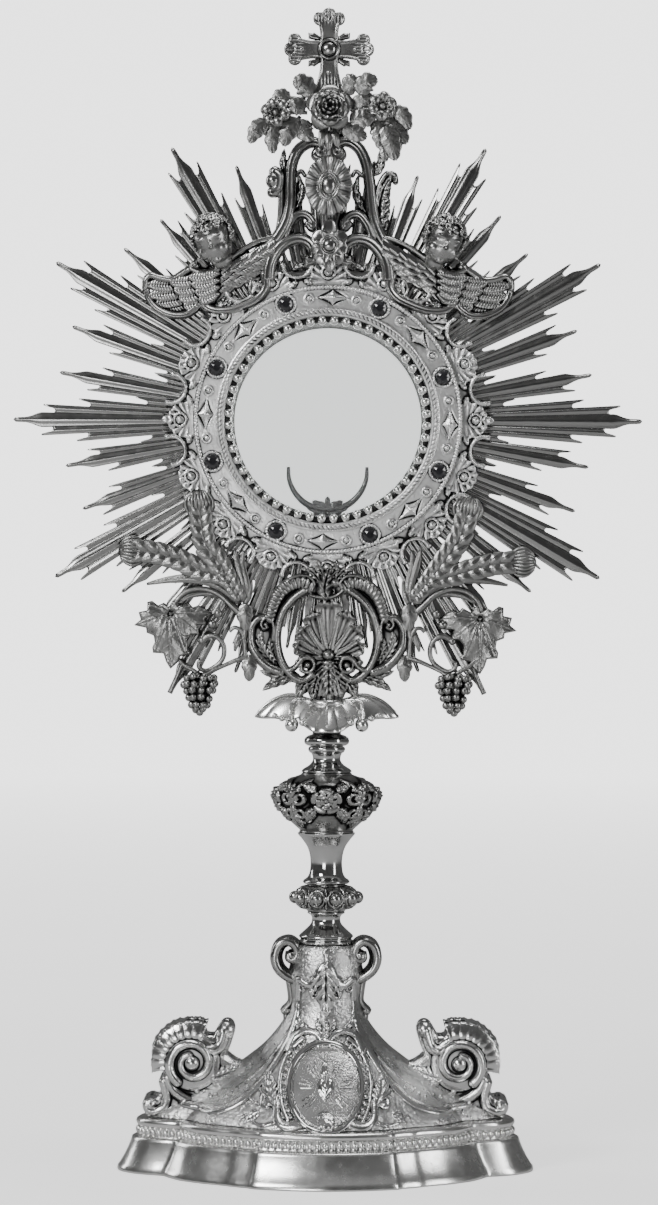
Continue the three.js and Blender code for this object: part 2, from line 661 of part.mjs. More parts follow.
// ---- assembly ----
addPart('foot_skirt', footSkirt(), BRIGHT);
addPart('foot_body', footBody(), SILVER);
addPart('foot_console_left', footConsole(-1), SILVER);
addPart('foot_console_right', footConsole(1), SILVER);
addPart('foot_medallion_front', footMedallion(-1), FROSTED);
addPart('foot_medallion_rear', footMedallion(1), FROSTED);
addPart('tie_rod', tieRod(), SILVER);
addPart('tie_nut', tieNut(), SILVER);
addPart('stem_flange', stemFlange(), BRIGHT);
addPart('lower_knop', lowerKnop(), SILVER);
addPart('stem_baluster', stemBaluster(), BRIGHT);
addPart('main_knop', mainKnop(), SILVER);
addPart('stem_neck', stemNeck(), BRIGHT);
addPart('stem_head', stemHead(), BRIGHT);
addPart('leaf_collar', leafCollar(), FROSTED);
addPart('shell_cartouche', shellCartouche(), SILVER);
addPart('rear_bracket', rearBracket(), SILVER);
addPart('gallery_plate', galleryPlate(), FROSTED);
addPart('chamber_case', chamberCase(), SILVER);
addPart('front_bezel', frontBezel(), BRIGHT);
addPart('pearl_ring', pearlRing(), BRIGHT);
addPart('front_glass', frontGlass(), CLEAR);
for (let i = 0; i < GEM_COUNT; i += 1) {
  addPart(`gem_${i + 1}`, gem(i), BLACK_STONE);
}
for (let i = 0; i < RAY_SECTORS; i += 1) {
  addPart(`ray_sector_${String(i + 1).padStart(2, '0')}`, raySector(i), SILVER);
}
addPart('cross', cross(), BRIGHT);
addPart('rose_bouquet', roseBouquet(), SILVER);
addPart('crown_scrollwork', crownScrollwork(), SILVER);
addPart('oval_rosette', ovalRosette(), SILVER);
addPart('lower_flower', lowerFlower(), SILVER);
addPart('cherub_left', cherub(-1), SILVER);
addPart('cherub_right', cherub(1), SILVER);
addPart('wheat_spray_left', wheatSpray(-1), SILVER);
addPart('wheat_spray_right', wheatSpray(1), SILVER);
addPart('vine_spray_left', vineSpray(-1), SILVER);
addPart('vine_spray_right', vineSpray(1), SILVER);
addPart('rear_door', rearDoor(), SILVER);
addPart('rear_glass', rearGlass(), CLEAR);
addPart('door_hinge_pin', doorHingePin(), SILVER);
addPart('door_knob', doorKnob(), BRIGHT);
addPart('lunula_socket', lunulaSocket(), BRIGHT);
addPart('lunula_front', lunulaFront(), BRIGHT);
addPart('lunula_clip', lunulaClip(), BRIGHT);

export default object;
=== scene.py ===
# A baroque-revival silver monstrance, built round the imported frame. Shapes are worked out in millimetres.
import math
import bpy
import bmesh
import numpy as np
from mathutils import Matrix, Vector


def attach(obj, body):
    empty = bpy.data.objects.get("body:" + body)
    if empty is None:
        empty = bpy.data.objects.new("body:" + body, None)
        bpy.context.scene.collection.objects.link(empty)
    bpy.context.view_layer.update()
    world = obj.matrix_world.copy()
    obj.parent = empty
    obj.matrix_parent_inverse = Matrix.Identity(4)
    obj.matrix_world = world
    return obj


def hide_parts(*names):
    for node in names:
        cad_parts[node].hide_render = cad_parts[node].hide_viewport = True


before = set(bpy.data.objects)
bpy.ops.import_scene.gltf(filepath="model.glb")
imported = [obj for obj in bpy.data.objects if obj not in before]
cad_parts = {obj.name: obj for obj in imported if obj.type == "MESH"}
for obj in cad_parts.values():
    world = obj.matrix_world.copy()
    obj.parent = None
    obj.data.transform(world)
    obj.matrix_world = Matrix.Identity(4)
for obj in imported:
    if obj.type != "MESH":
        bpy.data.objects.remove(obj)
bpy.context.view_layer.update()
MM = 0.001
scene = bpy.context.scene
# height of the glazed ring's centre
RING_Z = 419.0
# emission strength of the backdrop at its brightest
GLOW = 2.7
FRONT = np.array([0, -1.0, 0])
ROUND = 2 * math.pi
# the bore of the threaded stem pieces, and the radii at which arcs are measured in millimetres
BORE = 3.15
ARC_RADIUS = 67.0
STEM_ARC_RADIUS = 20.0
# the eight stones sit at these degrees, clockwise from the top
STONE_START, STONE_PITCH = 24.75, 45.0


# ---------------------------------------------------------------- materials
def node_material(name):
    material = bpy.data.materials.new(name)
    material.use_nodes = True
    tree = material.node_tree
    tree.nodes.clear()
    out = tree.nodes.new("ShaderNodeOutputMaterial")
    shader = tree.nodes.new("ShaderNodeBsdfPrincipled")
    tree.links.new(shader.outputs["BSDF"], out.inputs["Surface"])
    return material, tree, shader


def ramp_node(tree, source, stops):
    ramp = tree.nodes.new("ShaderNodeValToRGB")
    elements = ramp.color_ramp.elements
    while len(elements) < len(stops):
        elements.new(0.5)
    for element, (at, colour) in zip(elements, stops):
        element.position = at
        element.color = (*colour, 1) if len(colour) == 3 else colour
    tree.links.new(source, ramp.inputs["Fac"])
    return ramp.outputs["Color"]


def maths(tree, operation, a, b=None, clamp=False):
    node = tree.nodes.new("ShaderNodeMath")
    node.operation = operation
    node.use_clamp = clamp
    for socket, value in zip(node.inputs, (a, b)):
        if value is None:
            continue
        if isinstance(value, (int, float)):
            socket.default_value = value
        else:
            tree.links.new(value, socket)
    return node.outputs["Value"]


def noise(tree, scale, detail=3, roughness=0.5):
    coordinates = tree.nodes.new("ShaderNodeTexCoord")
    texture = tree.nodes.new("ShaderNodeTexNoise")
    texture.inputs["Scale"].default_value = scale
    texture.inputs["Detail"].default_value = detail
    texture.inputs["Roughness"].default_value = roughness
    tree.links.new(coordinates.outputs["Object"], texture.inputs["Vector"])
    return texture.outputs["Fac"]


def silver(name, light, dark, rough, patina=1.0, grain=0.0, grain_scale=1600, rough_spread=0.12,
           mottle=0.5):
    """Silver plate: tarnish gathers in the recesses, ridges are rubbed bright, and the polish is uneven."""
    material, tree, shader = node_material(name)
    attribute = tree.nodes.new("ShaderNodeAttribute")
    attribute.attribute_name = "tarnish"
    geometry = tree.nodes.new("ShaderNodeNewGeometry")
    pointed = maths(tree, "MULTIPLY", maths(tree, "SUBTRACT", 0.5, geometry.outputs["Pointiness"]), 2.2)
    cloud = maths(tree, "MULTIPLY", maths(tree, "SUBTRACT", noise(tree, 60, 5, 0.6), 0.5), mottle)
    speck = maths(tree, "MULTIPLY", maths(tree, "SUBTRACT", noise(tree, 420, 4, 0.6), 0.5), 0.35)
    depth = maths(tree, "ADD", maths(tree, "MULTIPLY", attribute.outputs["Fac"], patina), pointed)
    depth = maths(tree, "ADD", maths(tree, "ADD", depth, cloud), speck)
    shade = maths(tree, "ADD", depth, 0.3, clamp=True)
    middle = tuple(0.62 * a + 0.38 * b for a, b in zip(light, dark))
    colour = ramp_node(tree, shade, [(0.0, light), (0.42, tuple(0.92 * v for v in light)), (0.68, middle),
                                     (1.0, dark)])
    tree.links.new(colour, shader.inputs["Base Color"])
    shader.inputs["Metallic"].default_value = 1.0
    spread = maths(tree, "MULTIPLY", maths(tree, "SUBTRACT", noise(tree, 150, 4, 0.6), 0.5),
                   rough_spread * 2)
    wear = maths(tree, "MULTIPLY", shade, 0.22)
    tree.links.new(maths(tree, "ADD", maths(tree, "ADD", spread, wear), rough - 0.06, clamp=True),
                   shader.inputs["Roughness"])
    if grain:
        bump = tree.nodes.new("ShaderNodeBump")
        bump.inputs["Strength"].default_value = grain
        bump.inputs["Distance"].default_value = 0.4 / grain_scale
        tree.links.new(noise(tree, grain_scale, 2, 0.6), bump.inputs["Height"])
        tree.links.new(bump.outputs["Normal"], shader.inputs["Normal"])
    return material


SILVER = silver("silver_aged", (0.33, 0.33, 0.325), (0.005, 0.005, 0.005), 0.27, 1.9, 0.2)
# the same silver made much lighter for the foot's ornament, medallions and consoles: painted light, the foot
# lit brighter than the crown and upper parts
SILVER_FOOT_LIT = silver("silver_foot_lit", (0.62, 0.62, 0.615), (0.012, 0.012, 0.012), 0.22, 1.5, 0.3, 900)
SILVER_LEAF = silver("silver_leaf", (0.27, 0.27, 0.265), (0.008, 0.008, 0.008), 0.34, 1.5, 0.4, 900)
# a near-black copy of the silver for the lunula and its clip inside the glazed chamber: painted shade
SILVER_SHADED = silver("silver_shaded", (0.07, 0.07, 0.07), (0.004, 0.004, 0.004), 0.34, 1.3, 0.25)
SILVER_RAY = silver("silver_ray", (0.3, 0.3, 0.295), (0.012, 0.012, 0.012), 0.22, 1.3, 0.1)
BRIGHT = silver("silver_bright", (0.72, 0.72, 0.71), (0.03, 0.03, 0.03), 0.24, 1.4, 0.1)
POLISHED = silver("silver_polished", (0.5, 0.5, 0.495), (0.05, 0.05, 0.05), 0.1, 1.0, 0.05)
FROSTED = silver("silver_frosted", (0.68, 0.68, 0.675), (0.015, 0.015, 0.015), 0.33, 2.4, 0.5, 900, 0.12,
                 1.3)
MATTED = silver("silver_matted", (0.66, 0.66, 0.655), (0.012, 0.012, 0.012), 0.27, 2.0, 1.0, 520, 0.12, 1.1)


def stone_material():
    material, tree, shader = node_material("black_stone")
    tree.links.new(ramp_node(tree, noise(tree, 260, 3), [(0.2, (0.004, 0.004, 0.005)),
                                                         (0.9, (0.03, 0.03, 0.034))]),
                   shader.inputs["Base Color"])
    shader.inputs["IOR"].default_value = 1.6
    tree.links.new(maths(tree, "MULTIPLY", noise(tree, 500, 2), 0.14), shader.inputs["Roughness"])
    return material


def glass_material():
    material, tree, shader = node_material("clear_glass")
    shader.inputs["Base Color"].default_value = (0.97, 0.985, 0.98, 1)
    shader.inputs["Metallic"].default_value = 0.0
    shader.inputs["IOR"].default_value = 1.45
    shader.inputs["Transmission Weight"].default_value = 1.0
    tree.links.new(maths(tree, "MULTIPLY", noise(tree, 90, 4), 0.03), shader.inputs["Roughness"])
    return material


STONE = stone_material()
GLASS = glass_material()


# ---------------------------------------------------------------- mesh helpers
def add_piece(name, verts, faces, material, replaces=(), body="monstrance", slot="silver", tarnish=None,
              flat=False):
    """A piece from points in millimetres; every piece rides on a body of the frame."""
    mesh = bpy.data.meshes.new(name)
    verts = np.asarray(verts, float) * MM
    mesh.from_pydata(verts.tolist(), [], faces)
    work = bmesh.new()
    work.from_mesh(mesh)
    bmesh.ops.recalc_face_normals(work, faces=work.faces)
    work.to_mesh(mesh)
    work.free()
    mesh.update()
    mesh.polygons.foreach_set("use_smooth", np.full(len(mesh.polygons), not flat))
    if tarnish is not None:
        attribute = mesh.attributes.new("tarnish", "FLOAT", "POINT")
        attribute.data.foreach_set("value", np.asarray(tarnish, np.float32))
    piece = bpy.data.objects.new(name, mesh)
    scene.collection.objects.link(piece)
    mesh.materials.append(material)
    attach(piece, body)
    if replaces:
        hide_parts(*replaces)
    return piece


class Heap:
    """Gathers simple forms into one mesh."""

    def __init__(self):
        self.verts, self.faces, self.tarnish, self.count = [], [], [], 0

    def add(self, verts, faces, tarnish=0.0):
        verts = np.asarray(verts, float).reshape(-1, 3)
        self.verts.append(verts)
        self.faces.extend([[i + self.count for i in face] for face in faces])
        self.tarnish.append(np.broadcast_to(np.asarray(tarnish, float), (len(verts),)))
        self.count += len(verts)
        return self

    def piece(self, name, material, **options):
        return add_piece(name, np.concatenate(self.verts), self.faces, material,
                         tarnish=np.concatenate(self.tarnish), **options)


def grid_faces(rows, columns, close_rows=False, close_columns=False):
    faces = []
    for i in range(rows if close_rows else rows - 1):
        for j in range(columns if close_columns else columns - 1):
            k, m = (i + 1) % rows, (j + 1) % columns
            faces.append((i * columns + j, i * columns + m, k * columns + m, k * columns + j))
    return faces


def ball(heap, centre, radii, turn=None, rings=8, segments=14, tarnish=0.0):
    """An ellipsoid; turn is a 3x3 rotation."""
    theta = np.linspace(0, math.pi, rings + 1)[1:-1]
    phi = np.linspace(0, ROUND, segments, endpoint=False)
    points = [[0, 0, 1.0]]
    for t in theta:
        for p in phi:
            points.append([math.sin(t) * math.cos(p), math.sin(t) * math.sin(p), math.cos(t)])
    points.append([0, 0, -1.0])
    at = np.array(points) * np.broadcast_to(radii, 3)
    if turn is not None:
        at = at @ np.asarray(turn, float).T
    faces = [(0, 1 + j, 1 + (j + 1) % segments) for j in range(segments)]
    for i in range(rings - 2):
        for j in range(segments):
            a, b = 1 + i * segments + j, 1 + i * segments + (j + 1) % segments
            faces.append((a, a + segments, b + segments, b))
    last = len(points) - 1
    base = 1 + (rings - 2) * segments
    faces += [(last, base + (j + 1) % segments, base + j) for j in range(segments)]
    heap.add(at + np.asarray(centre, float), faces, tarnish)


def turned(heap, profile, segments=96, axis="z", centre=(0, 0, 0), closed=True, wobble=None, tarnish=0.0):
    """A turned form about z (or about y through centre) from [radius, height] pairs."""
    profile = np.asarray(profile, float)
    angle = np.linspace(0, ROUND, segments, endpoint=False)
    rows = len(profile)
    r = profile[:, 0][:, None] * np.ones(segments)
    h = profile[:, 1][:, None] * np.ones(segments)
    if wobble is not None:
        r, h = wobble(r, h, angle[None, :])
    a, b = r * np.sin(angle), r * np.cos(angle)
    at = np.stack([a, b, h], -1) if axis == "z" else np.stack([a, h, b], -1)
    heap.add(at.reshape(-1, 3) + np.asarray(centre, float), grid_faces(rows, segments, closed, True),
             tarnish)


def spline(points, per=6):
    """A Catmull-Rom curve through the points, per steps to a span."""
    p = np.asarray(points, float)
    n = len(p)
    out = []
    for i in range(n - 1):
        a, b, c, d = p[max(i - 1, 0)], p[i], p[i + 1], p[min(i + 2, n - 1)]
        for k in range(per):
            t = k / per
            out.append(0.5 * (2 * b + (c - a) * t + (2 * a - 5 * b + 4 * c - d) * t * t
                              + (3 * b - a - 3 * c + d) * t ** 3))
    out.append(p[-1])
    return np.array(out)


def tube(heap, path, radius, sides=8, tarnish=0.0, squash=1.0):
    """A round bar along points in millimetres; radius may vary along it."""
    path = np.asarray(path, float)
    n = len(path)
    radius = np.broadcast_to(np.asarray(radius, float), (n,))
    tangent = np.gradient(path, axis=0)
    tangent /= np.linalg.norm(tangent, axis=1)[:, None] + 1e-9
    normal = np.array([0, 1.0, 0])
    rows = []
    for i in range(n):
        side = np.cross(tangent[i], normal)
        if np.linalg.norm(side) < 1e-3:
            side = np.array([1.0, 0, 0])
        side /= np.linalg.norm(side)
        up = np.cross(side, tangent[i])
        angle = np.linspace(0, ROUND, sides, endpoint=False)
        rows.append(path[i] + radius[i] * (np.cos(angle)[:, None] * side
                                           + squash * np.sin(angle)[:, None] * up))
    at = np.concatenate(rows)
    faces = grid_faces(n, sides, False, True)
    faces.append(tuple(range(sides - 1, -1, -1)))
    faces.append(tuple((n - 1) * sides + k for k in range(sides)))
    heap.add(at, faces, tarnish)


def cavity(verts, edges, normals, passes=5, gain=1.5):
    """How deep each point lies below its smoothed surroundings: recesses positive, ridges negative."""
    a, b = edges[:, 0], edges[:, 1]
    count = np.bincount(a, minlength=len(verts)) + np.bincount(b, minlength=len(verts))
    at = verts.copy()
    for _ in range(passes):
        total = np.zeros_like(at)
        for axis in range(3):
            total[:, axis] = (np.bincount(a, at[b, axis], len(verts))
                              + np.bincount(b, at[a, axis], len(verts)))
        at = total / np.maximum(count, 1)[:, None]
    return np.clip(gain * np.sum((at - verts) * normals, 1), -0.5, 1.0)


def melted(heap, voxel, smooth=4, gain=1.5):
    """The heap's forms run together into one skin; gives points, faces and tarnish."""
    mesh = bpy.data.meshes.new("melt")
    mesh.from_pydata(np.concatenate(heap.verts).tolist(), [], heap.faces)
    holder = bpy.data.objects.new("melt", mesh)
    scene.collection.objects.link(holder)
    remesh = holder.modifiers.new("remesh", "REMESH")
    remesh.mode = "VOXEL"
    remesh.voxel_size = voxel * 1
    soften = holder.modifiers.new("soften", "SMOOTH")
    soften.iterations = smooth
    done = bpy.data.meshes.new_from_object(holder.evaluated_get(bpy.context.evaluated_depsgraph_get()))
    n = len(done.vertices)
    verts, normals = np.empty(n * 3), np.empty(n * 3)
    done.vertices.foreach_get("co", verts)
    done.vertices.foreach_get("normal", normals)
    edges = np.empty(len(done.edges) * 2, np.int32)
    done.edges.foreach_get("vertices", edges)
    faces = [tuple(polygon.vertices) for polygon in done.polygons]
    verts = verts.reshape(-1, 3)
    stain = cavity(verts, edges.reshape(-1, 2), normals.reshape(-1, 3), 6, gain)
    bpy.data.objects.remove(holder)
    bpy.data.meshes.remove(mesh)
    bpy.data.meshes.remove(done)
    return verts, faces, stain


def slab(heap, grid, thick=0.8, extra=0.0):
    """A closed sheet of even thickness on a grid of points (rows, columns, 3)."""
    grid = np.asarray(grid, float)
    rows, columns = grid.shape[:2]
    normal = np.cross(np.gradient(grid, axis=0), np.gradient(grid, axis=1))
    normal /= np.linalg.norm(normal, axis=2)[..., None] + 1e-9
    low = grid.copy()
    for _ in range(4):
        pad = np.pad(low, ((1, 1), (1, 1), (0, 0)), "reflect", reflect_type="odd")
        low = (pad[:-2, 1:-1] + pad[2:, 1:-1] + pad[1:-1, :-2] + pad[1:-1, 2:]) / 4
    deep = np.sum((low - grid) * normal, 2)
    top, under = grid + normal * thick / 2, grid - normal * thick / 2
    n = rows * columns
    faces = grid_faces(rows, columns) + [tuple(i + n for i in f[::-1]) for f in grid_faces(rows, columns)]
    edge = [j for j in range(columns)] + [i * columns + columns - 1 for i in range(1, rows)]
    edge += [(rows - 1) * columns + j for j in range(columns - 2, -1, -1)]
    edge += [i * columns for i in range(rows - 2, 0, -1)]
    for a, b in zip(edge, edge[1:] + edge[:1]):
        faces.append((a, b, b + n, a + n))
    stain = np.concatenate([np.clip(2.2 * deep + extra, -0.5, 1).ravel(),
                            np.clip(-2.2 * deep + extra, -0.5, 1).ravel()])
    heap.add(np.concatenate([top.reshape(-1, 3), under.reshape(-1, 3)]), faces, stain)


def frame_of(axis):
    """Two directions across an axis: sideways and upwards."""
    axis = np.asarray(axis, float) / np.linalg.norm(axis)
    side = np.cross(axis, (0, 0, 1))
    side = side / (np.linalg.norm(side) + 1e-9)
    return side, np.cross(side, axis), axis


def petal(heap, centre, angle, near, far, half, rise, curl=0.6, cup=1.2, thick=0.7, axis=(0, -1, 0),
          notch=0.0, ribs=0):
    """A cupped petal growing outwards from centre at an angle about the flower's axis."""
    side, up, axis = frame_of(axis)
    out = math.cos(math.radians(angle)) * side + math.sin(math.radians(angle)) * up
    across = -math.sin(math.radians(angle)) * side + math.cos(math.radians(angle)) * up
    t = np.linspace(0, 1, 9)[:, None]
    s = np.linspace(-1, 1, 9)[None, :]
    width = half * np.sin(math.pi * (0.08 + 0.82 * t ** 0.85)) ** 0.6
    reach = near + (far - near) * (t - 0.12 * t * s ** 2 - notch * t * np.exp(-(s / 0.25) ** 2))
    lift = rise * np.sin(math.pi * 0.62 * t) - curl * rise * t ** 3 + cup * s ** 2 * (1 - 0.4 * t)
    if ribs:
        lift = lift + 0.16 * np.cos(ribs * math.pi * s) * t
    grid = (np.asarray(centre, float) + reach[..., None] * out + (width * s)[..., None] * across
            + lift[..., None] * axis)
    slab(heap, grid, thick)


def blade(heap, path, half, fold=0.25, lobes=5, serration=0.2, veins=0.1, thick=0.8, blunt=0.8, across=11,
          stain=0.12):
    """A leaf in space, facing -Y: a spine, a folded blade with veins, and a scalloped edge."""
    path = spline(path, max(4, 26 // max(1, len(path) - 1)))
    n = len(path)
    t = np.linspace(0, 1, n)
    tangent = np.gradient(path, axis=0)
    tangent /= np.linalg.norm(tangent, axis=1)[:, None] + 1e-9
    side = np.cross(tangent, FRONT)
    side /= np.linalg.norm(side, axis=1)[:, None] + 1e-9
    normal = np.cross(side, tangent)
    body = np.sin(math.pi * np.clip(0.03 + 0.95 * t, 0, 1) ** blunt) ** 0.75
    width = half * (body * (1 - serration + serration * np.abs(np.sin(lobes * math.pi * t)) ** 0.7) + 0.03)
    s = np.linspace(-1, 1, across)[None, :]
    a = np.abs(s)
    lift = -fold * half * a * body[:, None] - 0.3 * np.exp(-(a / 0.12) ** 2)
    lift = lift + veins * np.cos(2 * math.pi * (lobes * t[:, None] - 0.9 * a)) * np.minimum(a * 3, 1)
    grid = (path[:, None, :] + (width[:, None] * s)[..., None] * side[:, None, :]
            + lift[..., None] * normal[:, None, :])
    slab(heap, grid, thick, stain)


# ---------------------------------------------------------------- relief grids
class Relief:
    """Ornament as heights over a flat grid: u to the right, v up, millimetres."""

    def __init__(self, low_u, high_u, low_v, high_v, step=0.5):
        self.step = step
        self.u = np.arange(low_u, high_u + self.step, self.step)
        self.v = np.arange(low_v, high_v + self.step, self.step)
        self.U, self.V = np.meshgrid(self.u, self.v)
        self.h = np.zeros_like(self.U)
        self.inside = np.full_like(self.U, -5.0)

    def window(self, low_u, high_u, low_v, high_v):
        a = max(np.searchsorted(self.u, low_u) - 1, 0)
        b = min(np.searchsorted(self.u, high_u) + 1, len(self.u))
        c = max(np.searchsorted(self.v, low_v) - 1, 0)
        d = min(np.searchsorted(self.v, high_v) + 1, len(self.v))
        return slice(c, d), slice(a, b)

    def put(self, w, inside, height, mode="max"):
        """Raises the ground to height where inside is positive; "add" adds to it and "cut" opens a hole."""
        if mode == "add":
            self.h[w] += np.where(inside > 0, height, 0)
        elif mode == "cut":
            self.inside[w] = np.minimum(self.inside[w], -inside)
        else:
            self.h[w] = np.maximum(self.h[w], np.where(inside > 0, height, -9))
            self.inside[w] = np.maximum(self.inside[w], inside)

    def track(self, path, margin):
        path = np.asarray(path, float)
        w = self.window(path[:, 0].min() - margin, path[:, 0].max() + margin,
                        path[:, 1].min() - margin, path[:, 1].max() + margin)
        U, V = self.U[w], self.V[w]
        far = np.full(U.shape, 1e9)
        t = np.zeros(U.shape)
        side = np.zeros(U.shape)
        seg = np.diff(path, axis=0)
        length = np.hypot(seg[:, 0], seg[:, 1])
        run = np.concatenate([[0], np.cumsum(length)])
        for i in range(len(seg)):
            if length[i] < 1e-6:
                continue
            du, dv = U - path[i, 0], V - path[i, 1]
            along = np.clip((du * seg[i, 0] + dv * seg[i, 1]) / length[i] ** 2, 0, 1)
            eu, ev = du - along * seg[i, 0], dv - along * seg[i, 1]
            dist = np.hypot(eu, ev)
            near = dist < far
            far = np.where(near, dist, far)
            t = np.where(near, run[i] + along * length[i], t)
            side = np.where(near, np.sign(seg[i, 0] * dv - seg[i, 1] * du), side)
        return w, far, t, side, run[-1]

    def ribbon(self, path, width, height, base=0.0, mode="max"):
        """width(t) and height(t, q, s) with t 0-1 along, q -1..1 across and s millimetres along."""
        margin = 8 if callable(width) else float(np.max(width)) + 1
        w, far, s, side, total = self.track(path, margin)
        t = s / total
        half = width(t) if callable(width) else (width[0]
                                                 + (width[1] - width[0]) * t if np.ndim(width) else width)
        half = np.maximum(half, 0.05)
        q = np.clip(far / half, 0, 1) * side
        self.put(w, half - far, base + height(t, q, s), mode)

    def scroll(self, path, r0, r1, height, base=0.0, kind="channel"):
        """A bar of half width r0 to r1, with a shallow channel along it or plainly round."""
        def shape(t, q, s):
            swell = np.minimum(1, (r0 + (r1 - r0) * t) / max(r0, r1)) ** 0.5
            section = np.sqrt(np.maximum(1 - q * q, 0.0))
            if kind == "channel":
                section = section - 0.17 * np.exp(-((np.abs(q) - 0.05) / 0.3) ** 2)
            return height * swell * section

        self.ribbon(path, (r0, r1), shape, base)

    def dome(self, u, v, ru, rv, height, base=0.0, power=0.5):
        r = max(ru, rv) + 1
        w = self.window(u - r, u + r, v - r, v + r)
        rho = np.hypot((self.U[w] - u) / ru, (self.V[w] - v) / rv)
        self.put(w, (1 - rho) * min(ru, rv), base + height * np.maximum(1 - rho ** 2, 0) ** power)

    def ring(self, u, v, ru, rv, wide, height, base=0.0, notches=0):
        r = max(ru, rv) + wide + 1
        w = self.window(u - r, u + r, v - r, v + r)
        du, dv = self.U[w] - u, self.V[w] - v
        rho = np.hypot(du / ru, dv / rv)
        q = np.abs(rho - 1) * min(ru, rv) / (wide / 2)
        top = height * np.sqrt(np.maximum(1 - q * q, 0))
        if notches:
            top = top * (0.7 + 0.3 * np.cos(np.arctan2(dv / rv, du / ru) * notches))
        self.put(w, (1 - q) * wide / 2, base + top)

    def flower(self, u, v, ru, rv, petals, height, base=0.0, turn=0.0, flutes=0, cup=0.5, gap=0.16):
        r = max(ru, rv) + 1
        w = self.window(u - r, u + r, v - r, v + r)
        du, dv = (self.U[w] - u) / ru, (self.V[w] - v) / rv
        rho, angle = np.hypot(du, dv), np.arctan2(dv, du) - math.radians(turn)
        lobe = np.abs(np.cos(angle * petals / 2))
        edge = 1 - gap + gap * lobe ** 0.3
        q = rho / edge
        rise = 0.35 + 0.65 * np.sin(np.clip(q, 0, 1) * math.pi * 0.62) ** 1.2 * cup * 1.6
        crease = 0.45 * np.exp(-(lobe / 0.22) ** 2) * np.clip(q * 1.3, 0, 1)
        ripple = 0.12 * np.cos(angle * flutes) * np.clip(q, 0, 1) if flutes else 0
        rounded = np.minimum(1, (1.04 - np.minimum(q, 1)) * 9) ** 0.5
        top = height * np.maximum(rise - crease + ripple, 0.08) * rounded
        self.put(w, (1 - q) * min(ru, rv), base + top)

    def leaf(self, path, half, height, base=0.0, lobes=5, serration=0.22, rib=0.35):
        """A leaf along a path, with a midrib, side veins and a scalloped edge."""
        length = float(np.sum(np.hypot(*np.diff(np.asarray(path, float), axis=0).T)))

        def wide(t):
            body = np.sin(math.pi * np.clip(t, 0, 1) ** 0.8) ** 0.75
            return half * (body * (1 - serration + serration * np.abs(np.sin(lobes * math.pi * t)) ** 0.7)
                           + 0.04)

        def tall(t, q, s):
            a = np.abs(q)
            sheet = (1 - a ** 2.2) * 0.7 + 0.3
            slant = lobes * t - 0.45 * a * lobes * half * 2 / length * 1.2
            veins = 0.16 * np.cos(2 * math.pi * slant) * np.minimum(a * 3, 1)
            groove = rib * np.exp(-(a / 0.13) ** 2)
            return height * np.maximum(sheet + veins - groove, 0.12)

        self.ribbon(path, wide, tall, base)

    def beads(self, path, pitch, radius, base=0.0):
        path = np.asarray(path, float)
        run = np.concatenate([[0], np.cumsum(np.hypot(*np.diff(path, axis=0).T))])
        count = max(int(run[-1] / pitch), 1)
        for k in range(count + 1):
            s = run[-1] * k / count
            self.dome(np.interp(s, run, path[:, 0]), np.interp(s, run, path[:, 1]), radius, radius, radius,
                      base)

    def fill(self, outline, height, base=0.0, soft=1.2):
        """A flat field inside an outline, its edge rounded over a width of soft."""
        outline = np.asarray(outline, float)
        closed = np.vstack([outline, outline[:1]])
        w, far = self.track(closed, 2.0)[:2]
        U, V = self.U[w], self.V[w]
        crossing = np.zeros(U.shape, bool)
        for (a, b), (c, d) in zip(closed[:-1], closed[1:]):
            if b == d:
                continue
            crossing ^= ((b > V) != (d > V)) & (U < (c - a) * (V - b) / (d - b) + a)
        inside = np.where(crossing, far, -far)
        self.put(w, inside, base + height * np.clip(far / soft, 0.25, 1) ** 0.5)

    def tarnish(self):
        """Dark where the relief lies below its near and wider surroundings, bright where it stands above."""
        def blurred(h, reach, passes):
            for _ in range(passes):
                h = (h + np.roll(h, reach, 0) + np.roll(h, -reach, 0) + np.roll(h, reach, 1)
                     + np.roll(h, -reach, 1)) / 5
            return h
        strength = 0.55
        low = blurred(self.h, 1, 6)
        wide = blurred(low, 2, 18)
        return np.clip(strength * (low - self.h) * 1.6 + strength * 0.6 * (wide - self.h), -0.5, 1.1)

    def geometry(self, place, back=0.0):
        """Front, back and rim of the kept cells; place(u, v, h) gives x, y, z arrays."""
        inside = self.inside
        cells = (inside[:-1, :-1] + inside[1:, :-1] + inside[:-1, 1:] + inside[1:, 1:]) / 4 > 0
        rows, columns = inside.shape
        touch = np.zeros(inside.shape, int)
        for di in (0, 1):
            for dj in (0, 1):
                touch[di:rows - 1 + di, dj:columns - 1 + dj] += cells
        used = touch > 0
        rim = used & (touch < 4)
        gv, gu = np.gradient(inside, self.step)
        size = np.maximum(gu ** 2 + gv ** 2, 0.15)
        du = np.where(rim, np.clip(-inside * gu / size, -0.5 * self.step, 0.5 * self.step), 0)
        dv = np.where(rim, np.clip(-inside * gv / size, -0.5 * self.step, 0.5 * self.step), 0)
        U, V = self.U + du, self.V + dv
        h = np.maximum(self.h, 0.15)
        number = -np.ones(inside.shape, int)
        number[used] = np.arange(used.sum())
        n = int(used.sum())
        front = np.stack(place(U[used], V[used], h[used]), -1)
        rear = np.stack(place(U[used], V[used], np.full(n, back)), -1)
        i, j = np.nonzero(cells)
        a, b, c, d = number[i, j], number[i, j + 1], number[i + 1, j + 1], number[i + 1, j]
        quads = np.stack([a, b, c, d], -1)
        faces = [tuple(q) for q in quads.tolist()]
        faces += [tuple(q) for q in (quads[:, ::-1] + n).tolist()]
        padded = np.zeros((rows + 1, columns + 1), bool)
        padded[1:rows, 1:columns] = cells
